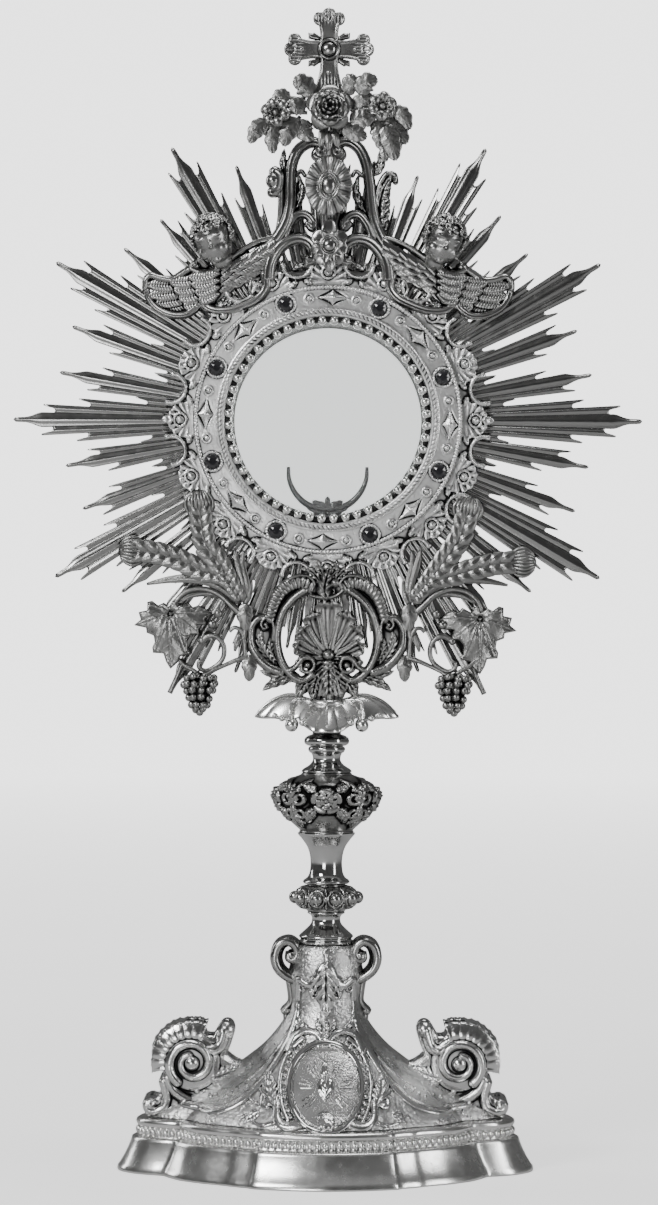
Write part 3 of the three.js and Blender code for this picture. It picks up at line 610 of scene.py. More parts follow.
        # the rim: where the neighbour at (di, dj) is not kept, a wall from point a to point b
        walls = (((0, 1), (0, 0), (0, 1)), ((2, 1), (1, 1), (1, 0)), ((1, 0), (1, 0), (0, 0)),
                 ((1, 2), (0, 1), (1, 1)))
        for i, j in zip(*np.nonzero(cells)):
            for (di, dj), start, end in walls:
                if not padded[i + di, j + dj]:
                    a, b = int(number[i + start[0], j + start[1]]), int(number[i + end[0], j + end[1]])
                    faces.append((a, a + n, b + n, b))
        stain = self.tarnish()[used]
        return np.concatenate([front, rear]), faces, np.concatenate([stain, np.full(n, 0.25)])

    def into(self, heap, place, back=0.0):
        heap.add(*self.geometry(place, back))


def facing(front_y, bow=None):
    """Places a relief upright, facing -Y, its ground at front_y; bow(u, v) pushes it forward."""
    return lambda u, v, h: (u, front_y - h - (bow(u, v) if bow else 0), v)


def volute(u, v, radius, start, turns, shrink=0.25, steps=30):
    """Points of a scroll winding inwards about a centre; start in degrees, turns may be negative."""
    t = np.linspace(0, 1, steps)
    angle = np.radians(start) + 2 * math.pi * turns * t
    r = radius * (1 - (1 - shrink) * t)
    return np.stack([u + r * np.cos(angle), v + r * np.sin(angle)], -1)


def sided(path, flipped):
    """The points as given, or mirrored to the other side."""
    return np.array(path, float) * [-1 if flipped else 1, 1]


def curves(flipped):
    """A function that gives the smooth curve through points, as given or mirrored."""
    return lambda points, per=6: spline(sided(points, flipped), per)


def on_ring(radius, degrees):
    a = math.radians(degrees)
    return radius * math.sin(a), RING_Z + radius * math.cos(a)


# ---------------------------------------------------------------- rays
# centre angle, half width in degrees, tip radius, side of the hook (0 for a pointed tip)
LANES = [(0, 1.5, 176.2, 0), (2.32, 0.84, 162.5, 1), (4.05, 0.9, 143, 1), (5.95, 1.0, 106, 1),
         (7.75, 0.8, 138, -1), (10.0, 1.46, 150, 0), (12.3, 0.84, 127, 1), (14.1, 0.9, 100, 1)]
LANE_ACROSS = np.array([-1, -0.97, -0.86, -0.7, -0.45, -0.2, 0, 0.2, 0.45, 0.7, 0.86, 0.97, 1])
LANE_TALL = np.array([0, 0.5, 0.62, 0.56, 0.8, 0.93, 1, 0.93, 0.8, 0.56, 0.62, 0.5, 0])


def ray_bar(heap, degrees, half, tip, hook):
    """One broad reed of a ray, hooked on one side at its end or drawn to a blunt point."""
    near, ground, back_y = 68.0, 1.9, 3.5
    stations = np.concatenate([np.linspace(0, 0.78, 5)[:-1], np.linspace(0.78, 1, 14)])
    if hook:
        s = LANE_ACROSS * hook
        notch = 7.0 * np.interp(s, [-1, -0.7, -0.3, 0.1, 0.4, 0.62, 1], [0.92, 1, 1, 0.85, 0.35, 0.0, 0.1])
    else:
        notch = 1.2 * LANE_ACROSS ** 2
    end = tip - notch
    rows = []
    for t in stations:
        r = near + (end - near) * t
        lateral = r * math.tan(math.radians(half)) * LANE_ACROSS
        height = LANE_TALL * (1.3 + 0.5 * min(1, r.mean() / 150))
        d = tip - r
        if hook:
            height = height * np.interp(d, [0, 1.5], [0.55, 1.0])
        else:
            lateral = lateral * np.interp(d, [0, 0.8, 2.5, 7, 10, 13, 15, 17],
                                          [0.14, 0.26, 0.3, 0.33, 0.5, 0.8, 0.98, 1.0])
            height = height * np.interp(d, [0, 1, 3], [0.5, 0.8, 1.0])
        a = math.radians(degrees)
        x = r * math.sin(a) + lateral * math.cos(a)
        z = RING_Z + r * math.cos(a) - lateral * math.sin(a)
        front = np.stack([x, ground - height, z], -1)
        rear = np.stack([x, back_y - 0.4 * height, z], -1)
        rows.append(np.concatenate([front, rear[::-1]]))
    lanes = len(LANE_ACROSS)
    w = 2 * lanes
    faces = grid_faces(len(rows), w, False, True)
    for r in (0, len(rows) - 1):
        for k in range(lanes - 1):
            faces.append((r * w + k, r * w + k + 1, r * w + w - 2 - k, r * w + w - 1 - k))
    groove = np.concatenate([0.55 * (1 - LANE_TALL) - 0.15, np.full(lanes, 0.2)])
    heap.add(np.concatenate(rows), faces, np.tile(groove, len(rows)))


def ray_sectors():
    rng = np.random.default_rng(7)
    for sector in range(12):
        heap = Heap()
        longest = 158 if sector == 0 else 140 if sector == 6 else 176.2
        for at, half, tip, hook in LANES:
            for sign in ((1,) if at == 0 else (1, -1)):
                change = rng.uniform(-4, 3) if at else 0
                ray_bar(heap, sector * 30 + sign * at, half, min(tip + change, longest - abs(at)),
                        hook * sign)
        heap.piece(f"rays_{sector + 1:02d}", SILVER_RAY, replaces=(f"ray_sector_{sector + 1:02d}",))


# ---------------------------------------------------------------- chamber ring
def placed_on_ring(front_y, tilt=None):
    """u runs clockwise round the ring as arc at ARC_RADIUS, v is the radius; heights go towards -Y."""
    def place(u, v, h):
        a = u / ARC_RADIUS
        return v * np.sin(a), front_y - h + (tilt(v) if tilt else 0), RING_Z + v * np.cos(a)
    return place


def arc(degrees):
    return ARC_RADIUS * math.radians(degrees)


def bezel_band():
    span = ROUND * ARC_RADIUS
    relief = Relief(-0.5, span + 0.5, 58.2, 75.4, 0.5)
    relief.inside[:] = np.minimum(relief.V - 58.0, 75.2 - relief.V)
    relief.h[:] = 1.0
    full = relief.window(-1, span + 1, 55, 80)
    for radius, wide, tall in ((61.9, 0.9, 1.7), (73.9, 2.3, 2.3)):
        q = np.abs(relief.V[full] - radius) / (wide / 2)
        milled = 1 if radius < 65 else 0.8 + 0.2 * np.cos(relief.U[full] * 2 * math.pi / 1.75)
        relief.put(full, 1 - q, tall * np.sqrt(np.maximum(1 - q * q, 0)) * milled)
    for k in range(8):
        at = STONE_START + STONE_PITCH * k
        u = arc(at) % span
        for shift in (-span, 0, span):
            relief.ring(u + shift, 68.3, 5.1, 5.1, 1.3, 1.9, 0.6, notches=20)
            relief.dome(u + shift, 68.3, 4.4, 4.4, 0.4, 0.9)
            middle = (arc(at + STONE_PITCH / 2) % span) + shift
            for sign in (-1, 1):
                stud = middle + sign * arc(11.2)
                relief.ring(stud, 68.3, 2.3, 2.3, 0.7, 0.8, 0.95)
                relief.dome(stud, 68.3, 1.35, 1.35, 1.3, 1.0)
            w = relief.window(middle - 12, middle + 12, 62, 75)
            du, dv = np.abs(relief.U[w] - middle) / 10.5, np.abs(relief.V[w] - 68.2) / 4.9
            star = 1 - (du ** 0.62 + dv ** 0.62)
            relief.put(w, star * 6, 1.0 + 1.7 * np.clip(star, 0, 1) ** 0.8)
            kite = 1 - (du * 1.15 + dv * 1.05)
            lines = 0.12 * np.cos((relief.U[w] - middle) * 5.2) * np.clip(kite * 4, 0, 1)
            relief.h[w] += np.where((kite > 0) & (star <= 0), lines - 0.28, 0)
            relief.dome(middle, 68.2, 1.1, 1.1, 0.6, 2.1)
    heap = Heap()
    relief.into(heap, placed_on_ring(-8.3, lambda v: 0.03 * (v - 68)), back=-1.0)
    rope(heap, 60.2, -9.3, 1.25, 150)
    wall = [(75.1, -7.9), (75.1, -2.2), (74.4, -2.0), (73.4, -2.0), (73.2, -7.2), (59.0, -7.2),
            (58.3, -7.2), (58.2, -8.6), (59, -8.9), (74.3, -8.5)]
    turned(heap, wall, 128, "y", (0, 0, RING_Z))
    heap.piece("bezel", FROSTED, replaces=("front_bezel",), slot="bright_silver")


def rope(heap, radius, y, thick, turns, sides=10, per_turn=5):
    n = turns * per_turn
    a = np.linspace(0, ROUND, n, endpoint=False)[:, None]
    b = np.linspace(0, ROUND, sides, endpoint=False)[None, :]
    r = thick * (1 + 0.16 * np.cos(a * turns + b * 2))
    x = (radius + r * np.cos(b)) * np.sin(a)
    z = RING_Z + (radius + r * np.cos(b)) * np.cos(a)
    yy = y + r * np.sin(b) + 0 * a
    stain = 0.22 * (1 - np.cos(a * turns + b * 2)) - 0.1
    heap.add(np.stack([x, yy, z], -1).reshape(-1, 3), grid_faces(n, sides, True, True), stain.reshape(-1))


def pearls():
    heap = Heap()
    turned(heap, [(54.6, -6.4), (54.4, -7.2), (54.8, -7.6), (57.2, -7.6), (57.6, -7.2), (57.6, -6.4)], 144,
           "y", (0, 0, RING_Z), tarnish=0.7)
    for k in range(52):
        x, z = on_ring(55.3, 360 / 52 * (k + 0.5))
        ball(heap, (x, -8.3, z), (2.6, 2.5, 2.6), rings=14, segments=22, tarnish=-0.15)
    heap.piece("pearl_border", BRIGHT, replaces=("pearl_ring",), slot="bright_silver")


def stones():
    for k in range(8):
        heap = Heap()
        x, z = on_ring(68.4, STONE_START + STONE_PITCH * k)
        levels = [(4.3, -9.3), (4.35, -9.9), (3.5, -11.1), (2.0, -11.9)]
        verts, faces = [], []
        for i, (r, y) in enumerate(levels):
            for j in range(10):
                a = ROUND * (j + 0.5 * (i % 2)) / 10
                verts.append((x + r * math.cos(a), y, z + r * math.sin(a)))
        for i in range(3):
            for j in range(10):
                a, b = i * 10 + j, i * 10 + (j + 1) % 10
                c, d = a + 10, b + 10
                faces += [(a, b, d), (a, d, c)] if i == 1 else [(a, b, c), (b, d, c)]
        faces += [tuple(range(30, 40)), tuple(range(9, -1, -1))]
        heap.add(verts, faces)
        heap.piece(f"stone_{k + 1}", STONE, replaces=(f"gem_{k + 1}",), slot="black_stone", flat=True)


def gallery():
    span = ROUND * ARC_RADIUS
    relief = Relief(-0.6, span + 0.6, 62.4, 93.5, 0.5)
    relief.inside[:] = np.minimum(relief.V - 62.4, 80.0 - relief.V)
    relief.h[:] = 1.0
    pitch = span / 16
    for k in range(-1, 18):
        u = k * pitch
        if u < -12 or u > span + 12:
            continue
        # frosted shell with a scalloped rim
        w = relief.window(u - 9, u + 9, 74, 93.5)
        du, dv = (relief.U[w] - u) * relief.V[w] / 67, relief.V[w] - 77.5
        rho, angle = np.hypot(du, dv), np.arctan2(du, np.maximum(dv, 0.01))
        lobes = 9
        edge = 11.6 + 0.75 * np.abs(np.cos(angle * lobes)) ** 0.6 - 1.4 * (angle / 1.2) ** 2
        q = rho / edge
        rib = 0.26 * np.cos(angle * lobes * 2) * np.clip(q * 1.6 - 0.4, 0, 1)
        relief.put(w, np.where(dv > -3, (1 - q) * edge, -1), 1.3 + 0.5 * q + rib)
        relief.dome(u, 82.6, 1.75, 2.1, 1.7, 1.9)
        relief.ring(u, 82.6, 2.9, 3.3, 0.9, 0.7, 1.8, notches=14)
        if k % 4 == 0:
            relief.leaf([(u, 86.5), (u, 93.2)], 2.1, 1.6, 1.6, 2, 0.2)
        # C-scrolls that edge the notch
        m = u + pitch / 2
        ring_u, ring_v = 7.2 * 67 / 80, 7.0
        a = np.radians(np.linspace(-196, 16, 26))
        path = np.stack([m + ring_u * np.cos(a), 88.4 + ring_v * np.sin(a)], -1)
        relief.scroll(path, 1.15, 1.15, 2.6, 0.4, "round")
        for sign in (-1, 1):
            relief.dome(m + sign * (ring_u - 0.2), 90.4, 1.5, 1.5, 2.0, 1.0)
            relief.leaf([(m + sign * 2, 79.5), (m + sign * 6, 76.5)], 1.5, 1.2, 1.2, 3)
        w = relief.window(m - 9, m + 9, 79, 94)
        hole = 1 - np.hypot((relief.U[w] - m) / (ring_u - 0.9), (relief.V[w] - 88.4) / (ring_v - 0.9))
        relief.put(w, hole * 5.5, 0, "cut")
        above = np.minimum(ring_u - 1 - np.abs(relief.U[w] - m), relief.V[w] - 88.4)
        relief.put(w, above, 0, "cut")
    relief.inside[:] = np.minimum(relief.inside, relief.V - 62.4)
    heap = Heap()
    relief.into(heap, placed_on_ring(-0.9), back=-1.4)
    heap.piece("gallery", FROSTED, replaces=("gallery_plate",), slot="frosted_silver")


# ---------------------------------------------------------------- stem
def fillet(profile):
    return [tuple(p) for p in spline(profile, 5)]


def wrapped(radius_at):
    """u is arc at STEM_ARC_RADIUS, v is z; heights go outwards from radius_at(z)."""
    def place(u, v, h):
        a = u / STEM_ARC_RADIUS
        r = radius_at(v) + h
        return r * np.sin(a), -r * np.cos(a), v
    return place


STEM = [("neck_flange", "stem_flange", 126.3, 144.2, [[(15.0, 126.3), (15.3, 127.6), (14.2, 128.8),
                                                       (15.2, 130.2), (14.6, 131.3)],
                                                      [(13.6, 132.2), (11.2, 134.4), (8.6, 137.2),
                                                       (7.9, 139.9), (8.6, 142), (10.4, 143.2),
                                                       (10.2, 144.2)]], []),
        ("baluster", "stem_baluster", 159.8, 188.1, [[(12.4, 159.8), (13.1, 160.7), (12.4, 161.9),
                                                      (10.6, 163.3), (9.3, 166), (8.8, 171), (9.3, 176),
                                                      (10.8, 180.5), (13.6, 184.6), (15.6, 186.9),
                                                      (16.1, 188.1)]], []),
        ("upper_neck", "stem_neck", 221.8, 236.6, [[(13.4, 221.8), (14.1, 222.6), (12.9, 224), (9.8, 226),
                                                    (7.9, 228.4), (7.8, 230.6), (8.6, 232.6)],
                                                   [(9.6, 233.2), (10.3, 234.4), (10.2, 235.7),
                                                    (9.2, 236.6)]], []),
        ("head", "stem_head", 236.9, 258.2, [[(10.6, 236.9), (12.2, 238), (12.6, 239.6), (12.0, 241.3),
                                              (10.2, 242.6)]], [(8.0, 243.3), (8.0, 258.2)])]


def stem():
    for name, node, low, high, curved, straight in STEM:
        heap = Heap()
        outline = [point for part in curved for point in fillet(part)]
        turned(heap, [(BORE, low), *outline, *straight, (BORE, high)], 128)
        heap.piece(name, POLISHED, replaces=(node,), slot="bright_silver")


def knop_profile(points):
    p = np.array(points, float)
    return lambda z: np.interp(z, p[:, 1], p[:, 0])


def knop_skin(heap, relief, at):
    """The relief wrapped right round the knop's outline."""
    at_points = np.stack(wrapped(at)(relief.U, relief.V, relief.h + 0.02), -1)
    heap.add(at_points.reshape(-1, 3), grid_faces(*relief.U.shape, False, True),
             relief.tarnish().reshape(-1))


MAIN_KNOP = [(14.4, 188.4), (15.2, 190), (17.6, 192.2), (20.6, 195.0), (23.4, 198.4), (25.0, 202.2),
             (25.8, 206.4), (26.0, 210.6), (25.2, 214.4), (22.4, 217.4), (17.6, 219.6), (14.4, 220.8),
             (13.8, 221.5)]


def main_knop():
    at = knop_profile(spline(MAIN_KNOP, 6))
    span = ROUND * STEM_ARC_RADIUS
    relief = Relief(0, span - span / 300, 189.2, 220.8, 0.42)
    relief.inside[:] = 1.0
    for k in range(-1, 5):
        u = k * span / 4
        # a rose on each of the four faces, with scrolls and leaves between
        relief.flower(u, 207.0, 6.6, 7.4, 5, 2.8, 0.2, 90, 0, 0.6, 0.2)
        relief.flower(u, 207.0, 4.4, 5.0, 5, 3.2, 0.5, 54, 0, 0.7, 0.2)
        relief.flower(u, 207.0, 2.5, 2.9, 4, 3.4, 0.7, 20, 0, 0.8, 0.2)
        relief.dome(u, 207.0, 1.2, 1.3, 1.2, 2.9)
        for sign in (-1, 1):
            relief.leaf([(u + sign * 4.6, 203), (u + sign * 8, 199.5), (u + sign * 9.6, 194.8)], 2.9, 1.9,
                        0.1, 4)
            relief.leaf([(u + sign * 4.4, 212), (u + sign * 7.4, 214.6), (u + sign * 11, 216.4)], 2.5, 1.6,
                        0.1, 4)
            v = u + sign * span / 8
            c = volute(v - sign * 3.4, 208.5, 4.6, 90, -1.3 * sign, 0.25)
            relief.scroll(c, 1.35, 0.8, 2.3, 0.1)
            c = volute(v - sign * 3.2, 199.0, 3.9, -90, 1.25 * sign, 0.25)
            relief.scroll(c, 1.2, 0.7, 2.0, 0.1)
            relief.scroll([(v - sign * 2.2, 213), (v - sign * 4.2, 216.6), (v - sign * 7.5, 218.4)], 1.1,
                          0.7, 1.8, 0.1)
        v = u + span / 8
        relief.leaf([(v, 203.5), (v, 216.5)], 3.2, 2.2, 0.1, 4)
        relief.leaf([(v, 202.5), (v, 191.5)], 3.4, 2.0, 0.1, 4)
        relief.dome(v, 203.0, 1.9, 1.9, 2.2, 0.2)
    relief.h *= np.interp(relief.V, [190, 197, 205, 213, 220], [1.6, 1.5, 0.9, 1.5, 1.7])
    heap = Heap()
    knop_skin(heap, relief, at)
    top, bottom = at(220.8), at(189.2)
    turned(heap, [(top - 0.3, 220.9), (14.2, 221.0), (14.1, 221.5), (BORE, 221.5), (BORE, 219.5),
                  (top - 2, 219.4), (top - 1.4, 219.9)], 128)
    turned(heap, [(bottom - 1.4, 190.2), (bottom - 2, 190.4), (BORE, 190.4), (BORE, 188.4), (15.1, 188.4),
                  (15.4, 189.0), (bottom + 0.1, 189.4)], 128)
    heap.piece("knop", SILVER, replaces=("main_knop",))


def lower_knop():
    outline = spline([(10.6, 144.5), (11.8, 145.3), (14.4, 146.6), (16.4, 149), (17.2, 152), (16.4, 155),
                      (14.4, 157.4), (11.8, 158.7), (10.6, 159.5)])
    at = knop_profile(outline)
    span = ROUND * STEM_ARC_RADIUS
    relief = Relief(0, span - span / 300, 145.3, 158.7, 0.42)
    relief.inside[:] = 1.0
    for k in range(-1, 11):
        u = (k + 0.5) * span / 10
        relief.ring(u, 152, 5.0, 4.7, 1.1, 1.0, 0.1)
        v = u + span / 20
        relief.scroll([(v, 157.6), (v, 155)], 0.9, 0.5, 1.2, 0.1, "round")
        relief.scroll([(v, 146.4), (v, 149)], 0.9, 0.5, 1.2, 0.1, "round")
        relief.dome(v, 152, 0.7, 2.4, 1.0, 0.1)
    heap = Heap()
    knop_skin(heap, relief, at)
    for k in range(10):
        b = (k + 0.5) * 2 * math.pi / 10
        ball(heap, (17.4 * math.sin(b), -17.4 * math.cos(b), 152), (3.5, 3.5, 3.6), rings=14, segments=24,
             tarnish=-0.2)
    turned(heap, [(10.9, 158.6), (10.7, 159.5), (BORE, 159.5), (BORE, 157.8), (10, 157.6)], 128)
    turned(heap, [(10, 146.2), (BORE, 146.2), (BORE, 144.5), (10.7, 144.5), (11.2, 145.4)], 128)
    heap.piece("knop_small", SILVER, replaces=("lower_knop",))


# ---------------------------------------------------------------- foot
FOOT_PLAN = [(1, 0), (0.992, 0.09), (0.965, 0.175), (0.91, 0.262), (0.83, 0.32), (0.766, 0.352),
             (0.745, 0.42), (0.69, 0.55), (0.59, 0.67), (0.47, 0.765), (0.446, 0.8), (0.354, 0.872),
             (0.34, 0.905), (0.25, 0.945), (0.13, 0.985), (0, 1)]


def foot_plan():
    """The whole lobed plan as unit points, anticlockwise from +X, spaced for smooth shading."""
    quarter = []
    knots = np.array(FOOT_PLAN)
    for a, b in zip(knots[:-1], knots[1:]):
        for t in (0, 0.33, 0.67):
            quarter.append(a + (b - a) * t)
    quarter = np.array(quarter)
    soft = quarter.copy()
    soft[1:-1] = (quarter[:-2] + 2 * quarter[1:-1] + quarter[2:]) / 4
    second = soft[1:][::-1] * [-1, 1]
    top = np.vstack([soft, [[0, 1]], second])
    bottom = top[1:-1][::-1] * [1, -1]
    left = np.array([[-1.0, 0.0]])
    return np.vstack([top, left, bottom])


def stacked(heap, sections, tarnish=0.0):
    """A skin through sections (z, half x, half y, roundness)."""
    plan = foot_plan()
    length = np.hypot(plan[:, 0], plan[:, 1])[:, None]
    rows = []
    for z, hx, hy, roundness in sections:
        squeeze = 1 + roundness * (1 / length - 1)
        xy = plan * squeeze * [hx, hy]
        rows.append(np.column_stack([xy, np.full(len(xy), z)]))
    heap.add(np.concatenate(rows), grid_faces(len(rows), len(plan), True, True), tarnish)


def foot_skirt():
    heap = Heap()
    hx, hy = 116.5, 79.7
    outer = [(0, 0), (0.8, 0.0), (2.4, -0.3), (4, -1.6), (8, -4.0), (13, -6.4), (17, -7.9), (18.6, -8.3),
             (19.2, -9.4), (19.3, -11.3), (19.9, -12.0), (24.6, -12.2), (25.0, -11.9), (25.6, -10.9),
             (27, -10.4), (28.6, -11.0), (29.6, -12.6), (30, -15.4)]
    inner = [(30, -18.5), (20, -15), (18, -11.5), (8, -7), (1, -3.2), (0, -2.8)]
    sections = [(z, hx + d, hy + d, 0) for z, d in outer + inner]
    stacked(heap, sections)
    plan = foot_plan() * [hx - 12.0, hy - 12.0]
    loop = np.vstack([plan, plan[:1]])
    run = np.concatenate([[0], np.cumsum(np.hypot(*np.diff(loop, axis=0).T))])
    count = 132
    for k in range(count):
        s = run[-1] * k / count
        ball(heap, (np.interp(s, run, loop[:, 0]), np.interp(s, run, loop[:, 1]), 22.2), (1.75, 1.75, 2.3),
             rings=7, segments=10)
    heap.piece("skirt", BRIGHT, replaces=("foot_skirt",), slot="bright_silver")


# height, half width, half depth, roundness (0 follows the foot's lobed plan, 1 is an ellipse)
DOME = [(30.3, 99, 64, 0), (33, 97, 62.5, 0.02), (38, 90, 58, 0.1), (43, 80.5, 54, 0.2), (48, 70, 50, 0.3),
        (53, 60, 46, 0.4), (58, 51, 42, 0.5), (64, 42.5, 37, 0.63), (70, 35, 32, 0.75),
        (77, 28.5, 27.6, 0.87), (84, 23.5, 24, 0.95), (90, 20.8, 21.6, 1), (95.5, 19.6, 20.5, 1),
        (102, 20.2, 20.6, 1), (110, 21, 21, 1), (118, 19.4, 19.4, 1), (126, 17, 17, 1)]


def dome_depth(x, z):
    """Half depth of the dome's front above a point of the front view."""
    plan = foot_plan()
    plan = plan[plan[:, 1] >= -1e-9]
    plan = plan[np.argsort(plan[:, 0])]
    zs = np.array([d[0] for d in DOME])
    x, z = np.abs(np.asarray(x, float)), np.asarray(z, float)
    hx = np.interp(z, zs, [d[1] for d in DOME])
    hy = np.interp(z, zs, [d[2] for d in DOME])
    mix = np.interp(z, zs, [d[3] for d in DOME])
    q = np.clip(x / hx, 0, 0.999)
    lobed = np.interp(q, plan[:, 0], plan[:, 1])
    return hy * ((1 - mix) * lobed + mix * np.sqrt(1 - q * q))


# ---------------------------------------------------------------- crown
def crown():
    relief = Relief(-40, 40, 497.5, 598.5, 0.42)
    # the reeded backing that carries the cross
    relief.fill([(-6, 498), (10, 498), (8, 585), (-3, 585)], 0.9)
    for u in (-3, 1, 5):
        relief.scroll([(u, 499), (u + 0.3, 584)], 1.4, 1.4, 1.0, 0.4, "round")
    # frosted ground that sits on the ring
    relief.fill([(-31, 497.5), (-27, 502.5), (-13, 503), (-9, 508), (8, 508), (13, 503), (26, 502.5),
                 (31, 497.5)], 1.4)
    # tall polished arches
    left = [(-5.5, 570.5), (-7.2, 567.2), (-3.6, 566.4), (-2.2, 570.2), (-5.4, 573.8), (-11, 574.2),
            (-17, 570), (-20.6, 562), (-21.3, 551), (-21.4, 540), (-23.5, 530), (-28.5, 521), (-34, 515.5),
            (-39, 513)]
    right = [(5.5, 570.5), (7.2, 567.4), (3.6, 566.6), (2.4, 570.4), (5.6, 574.2), (11, 575), (17, 571),
             (21, 562.5), (23, 551), (24, 540), (26, 530), (30, 520.5), (35, 515), (39.5, 512)]
    for path in (left, right):
        relief.scroll(spline(path, 5), 2.8, 3.9, 5.6, 1.8)
    relief.dome(-5, 570, 3.0, 3.0, 4.8, 2.8)
    relief.dome(5, 570, 3.0, 3.0, 4.8, 2.8)
    # curled shoot on one side, ribbed leaf on the other
    relief.scroll(spline([(-31.5, 546.5), (-28.2, 549), (-27.5, 555), (-30, 557.5)], 5), 3.0, 3.6, 4.4, 1.2)
    relief.scroll(spline([(-29, 522), (-27, 533), (-26.6, 545), (-27.6, 553)], 5), 1.4, 2.2, 3.2, 1.2)
    relief.dome(-31.2, 552.8, 4.0, 4.2, 4.8, 1.0)
    relief.dome(-29.6, 545.4, 2.0, 1.9, 3.2, 1.2)
    relief.leaf(spline([(-24.6, 556), (-25.6, 563), (-24.8, 571)], 5), 2.2, 2.4, 1.0, 3)
    relief.leaf(spline([(29.5, 520), (28.2, 532), (30, 546), (35.2, 556)]), 6.0, 3.4, 1.2, 6, 0.12)
    relief.scroll(spline([(29, 517), (26.4, 532), (27.6, 548), (32, 556.5), (36.6, 556.2), (37.4, 552.6)]),
                  1.2, 1.7, 4.0, 1.4, "round")
    relief.beads(spline([(30.5, 528), (30.6, 540), (34, 549)], 5), 2.6, 1.1, 4.0)
    relief.leaf(spline([(26, 556), (29, 562), (28.5, 570)], 5), 2.6, 2.4, 1.0, 3)
    # inner leaves and small curls beside the flowers
    for flipped in (False, True):
        curve = curves(flipped)
        relief.scroll(curve([(-11.4, 528.6), (-9.2, 526.4), (-8.6, 529.6), (-12, 533.6), (-17, 534),
                             (-21.5, 529), (-25, 521)], 5), 2.2, 3.1, 5.0, 1.6)
        relief.leaf(curve([(-20.8, 534), (-17.5, 540), (-15.2, 548), (-17, 557)], 5), 2.6, 2.8, 1.0, 5)
        relief.scroll(curve([(-18.5, 556), (-15.4, 558.5), (-13.4, 556)], 5), 1.2, 1.2, 3.0, 1.2, "round")
        # the large C-scrolls that run down into the wings
        relief.scroll(curve([(-11.2, 507.6), (-8.6, 508.8), (-8.2, 513.5), (-10.8, 518.4), (-16.8, 520.6),
                             (-24, 518.4), (-30, 512), (-32.8, 505), (-33.6, 498)]), 3.1, 4.2, 6.2, 1.6)
        relief.dome(11.6 if flipped else -11.6, 509.2, 2.4, 2.4, 5.4, 2.2)
        relief.leaf(curve([(-26, 519), (-33, 519.5), (-38, 516.5)], 5), 3.2, 3.4, 1.0, 4)
        relief.leaf(curve([(-20, 503), (-15, 506), (-10.5, 504)], 5), 2.0, 2.6, 0.8, 4)
    heap = Heap()
    relief.into(heap, facing(0.4), 0.0)
    heap.piece("crown", SILVER, replaces=("crown_scrollwork",))


def ruffled(heap, centre, half_x, half_z, flutes, rim, tilt=1.6):
    """A round flower of one sheet, fluted towards a scalloped rim."""
    t = np.linspace(0, 1, 15)[:, None]
    a = np.linspace(0, ROUND, flutes * 14 + 1)[:-1][None, :]
    wave = np.cos(a * flutes)
    scale = 3.0 / half_x
    reach = scale + (1 - scale) * t * (1 + 0.055 * np.abs(np.cos(a * flutes / 2)) ** 0.5 - 0.055)
    lift = tilt * np.sin(math.pi * 0.85 * t) + rim * wave * t ** 1.3 + 0.25 * np.cos(a * flutes * 3) * t
    x = centre[0] + half_x * reach * np.cos(a)
    z = centre[2] + half_z * reach * np.sin(a)
    top = np.stack([x, centre[1] - lift - 0.5, z], -1)
    under = top + [0, 1.1, 0]
    rows, columns = lift.shape
    stain = np.concatenate([np.clip(0.12 - 0.16 * wave * t + 0.2 * (1 - t), -0.3, 1),
                            np.full((rows, columns), 0.3)])
    heap.add(np.concatenate([top, under[::-1]]).reshape(-1, 3), grid_faces(2 * rows, columns, True, True),
             stain.reshape(-1))


def cabochon(heap, centre, half_x, half_z, rise):
    """A polished boss in a double rim."""
    ball(heap, centre, (half_x, rise, half_z), rings=14, segments=32, tarnish=-0.2)
    a = np.linspace(0, ROUND, 49)
    for grow, lift, thick in ((1.5, 0.2, 0.8), (1.18, 0.5, 0.4)):
        loop = np.stack([centre[0] + grow * half_x * np.sin(a), np.full(49, centre[1] - lift), centre[2]
                         + grow * half_z * np.cos(a)], -1)
        tube(heap, loop, thick, 8, -0.1)


def rosette():
    heap = Heap()
    ruffled(heap, (0, -10.8, 549), 13.4, 16.8, 13, 0.42)
    ruffled(heap, (0, -11.8, 549), 7.0, 9.4, 13, 0.12, 0.5)
    cabochon(heap, (0, -12.4, 549), 3.6, 4.9, 1.9)
    tube(heap, [(0, -10.6, 549), (0, 0.2, 549)], 3.6, 16)
    heap.piece("oval_flower", SILVER, replaces=("oval_rosette",))
    centre = np.array([0.6, -10.6, 516.0])
    heap = Heap()
    for a, far, half in ((90, 15.6, 4.6), (36, 11.6, 5.0), (-16, 10.8, 4.6), (-58, 12.8, 4.4),
                         (-90, 15.8, 3.8), (-122, 12.8, 4.4), (196, 10.8, 4.6), (144, 11.6, 5.0)):
        petal(heap, centre, a, 1.5, far, half, 1.5, 1.0, 0.9, 0.9, notch=0.05, ribs=2)
    cabochon(heap, (0.6, -12.0, 516), 3.4, 3.4, 1.8)
    tube(heap, [(0.6, -10.6, 516), (0.6, 0.2, 516)], 3.4, 16)
    heap.piece("small_flower", SILVER, replaces=("lower_flower",))


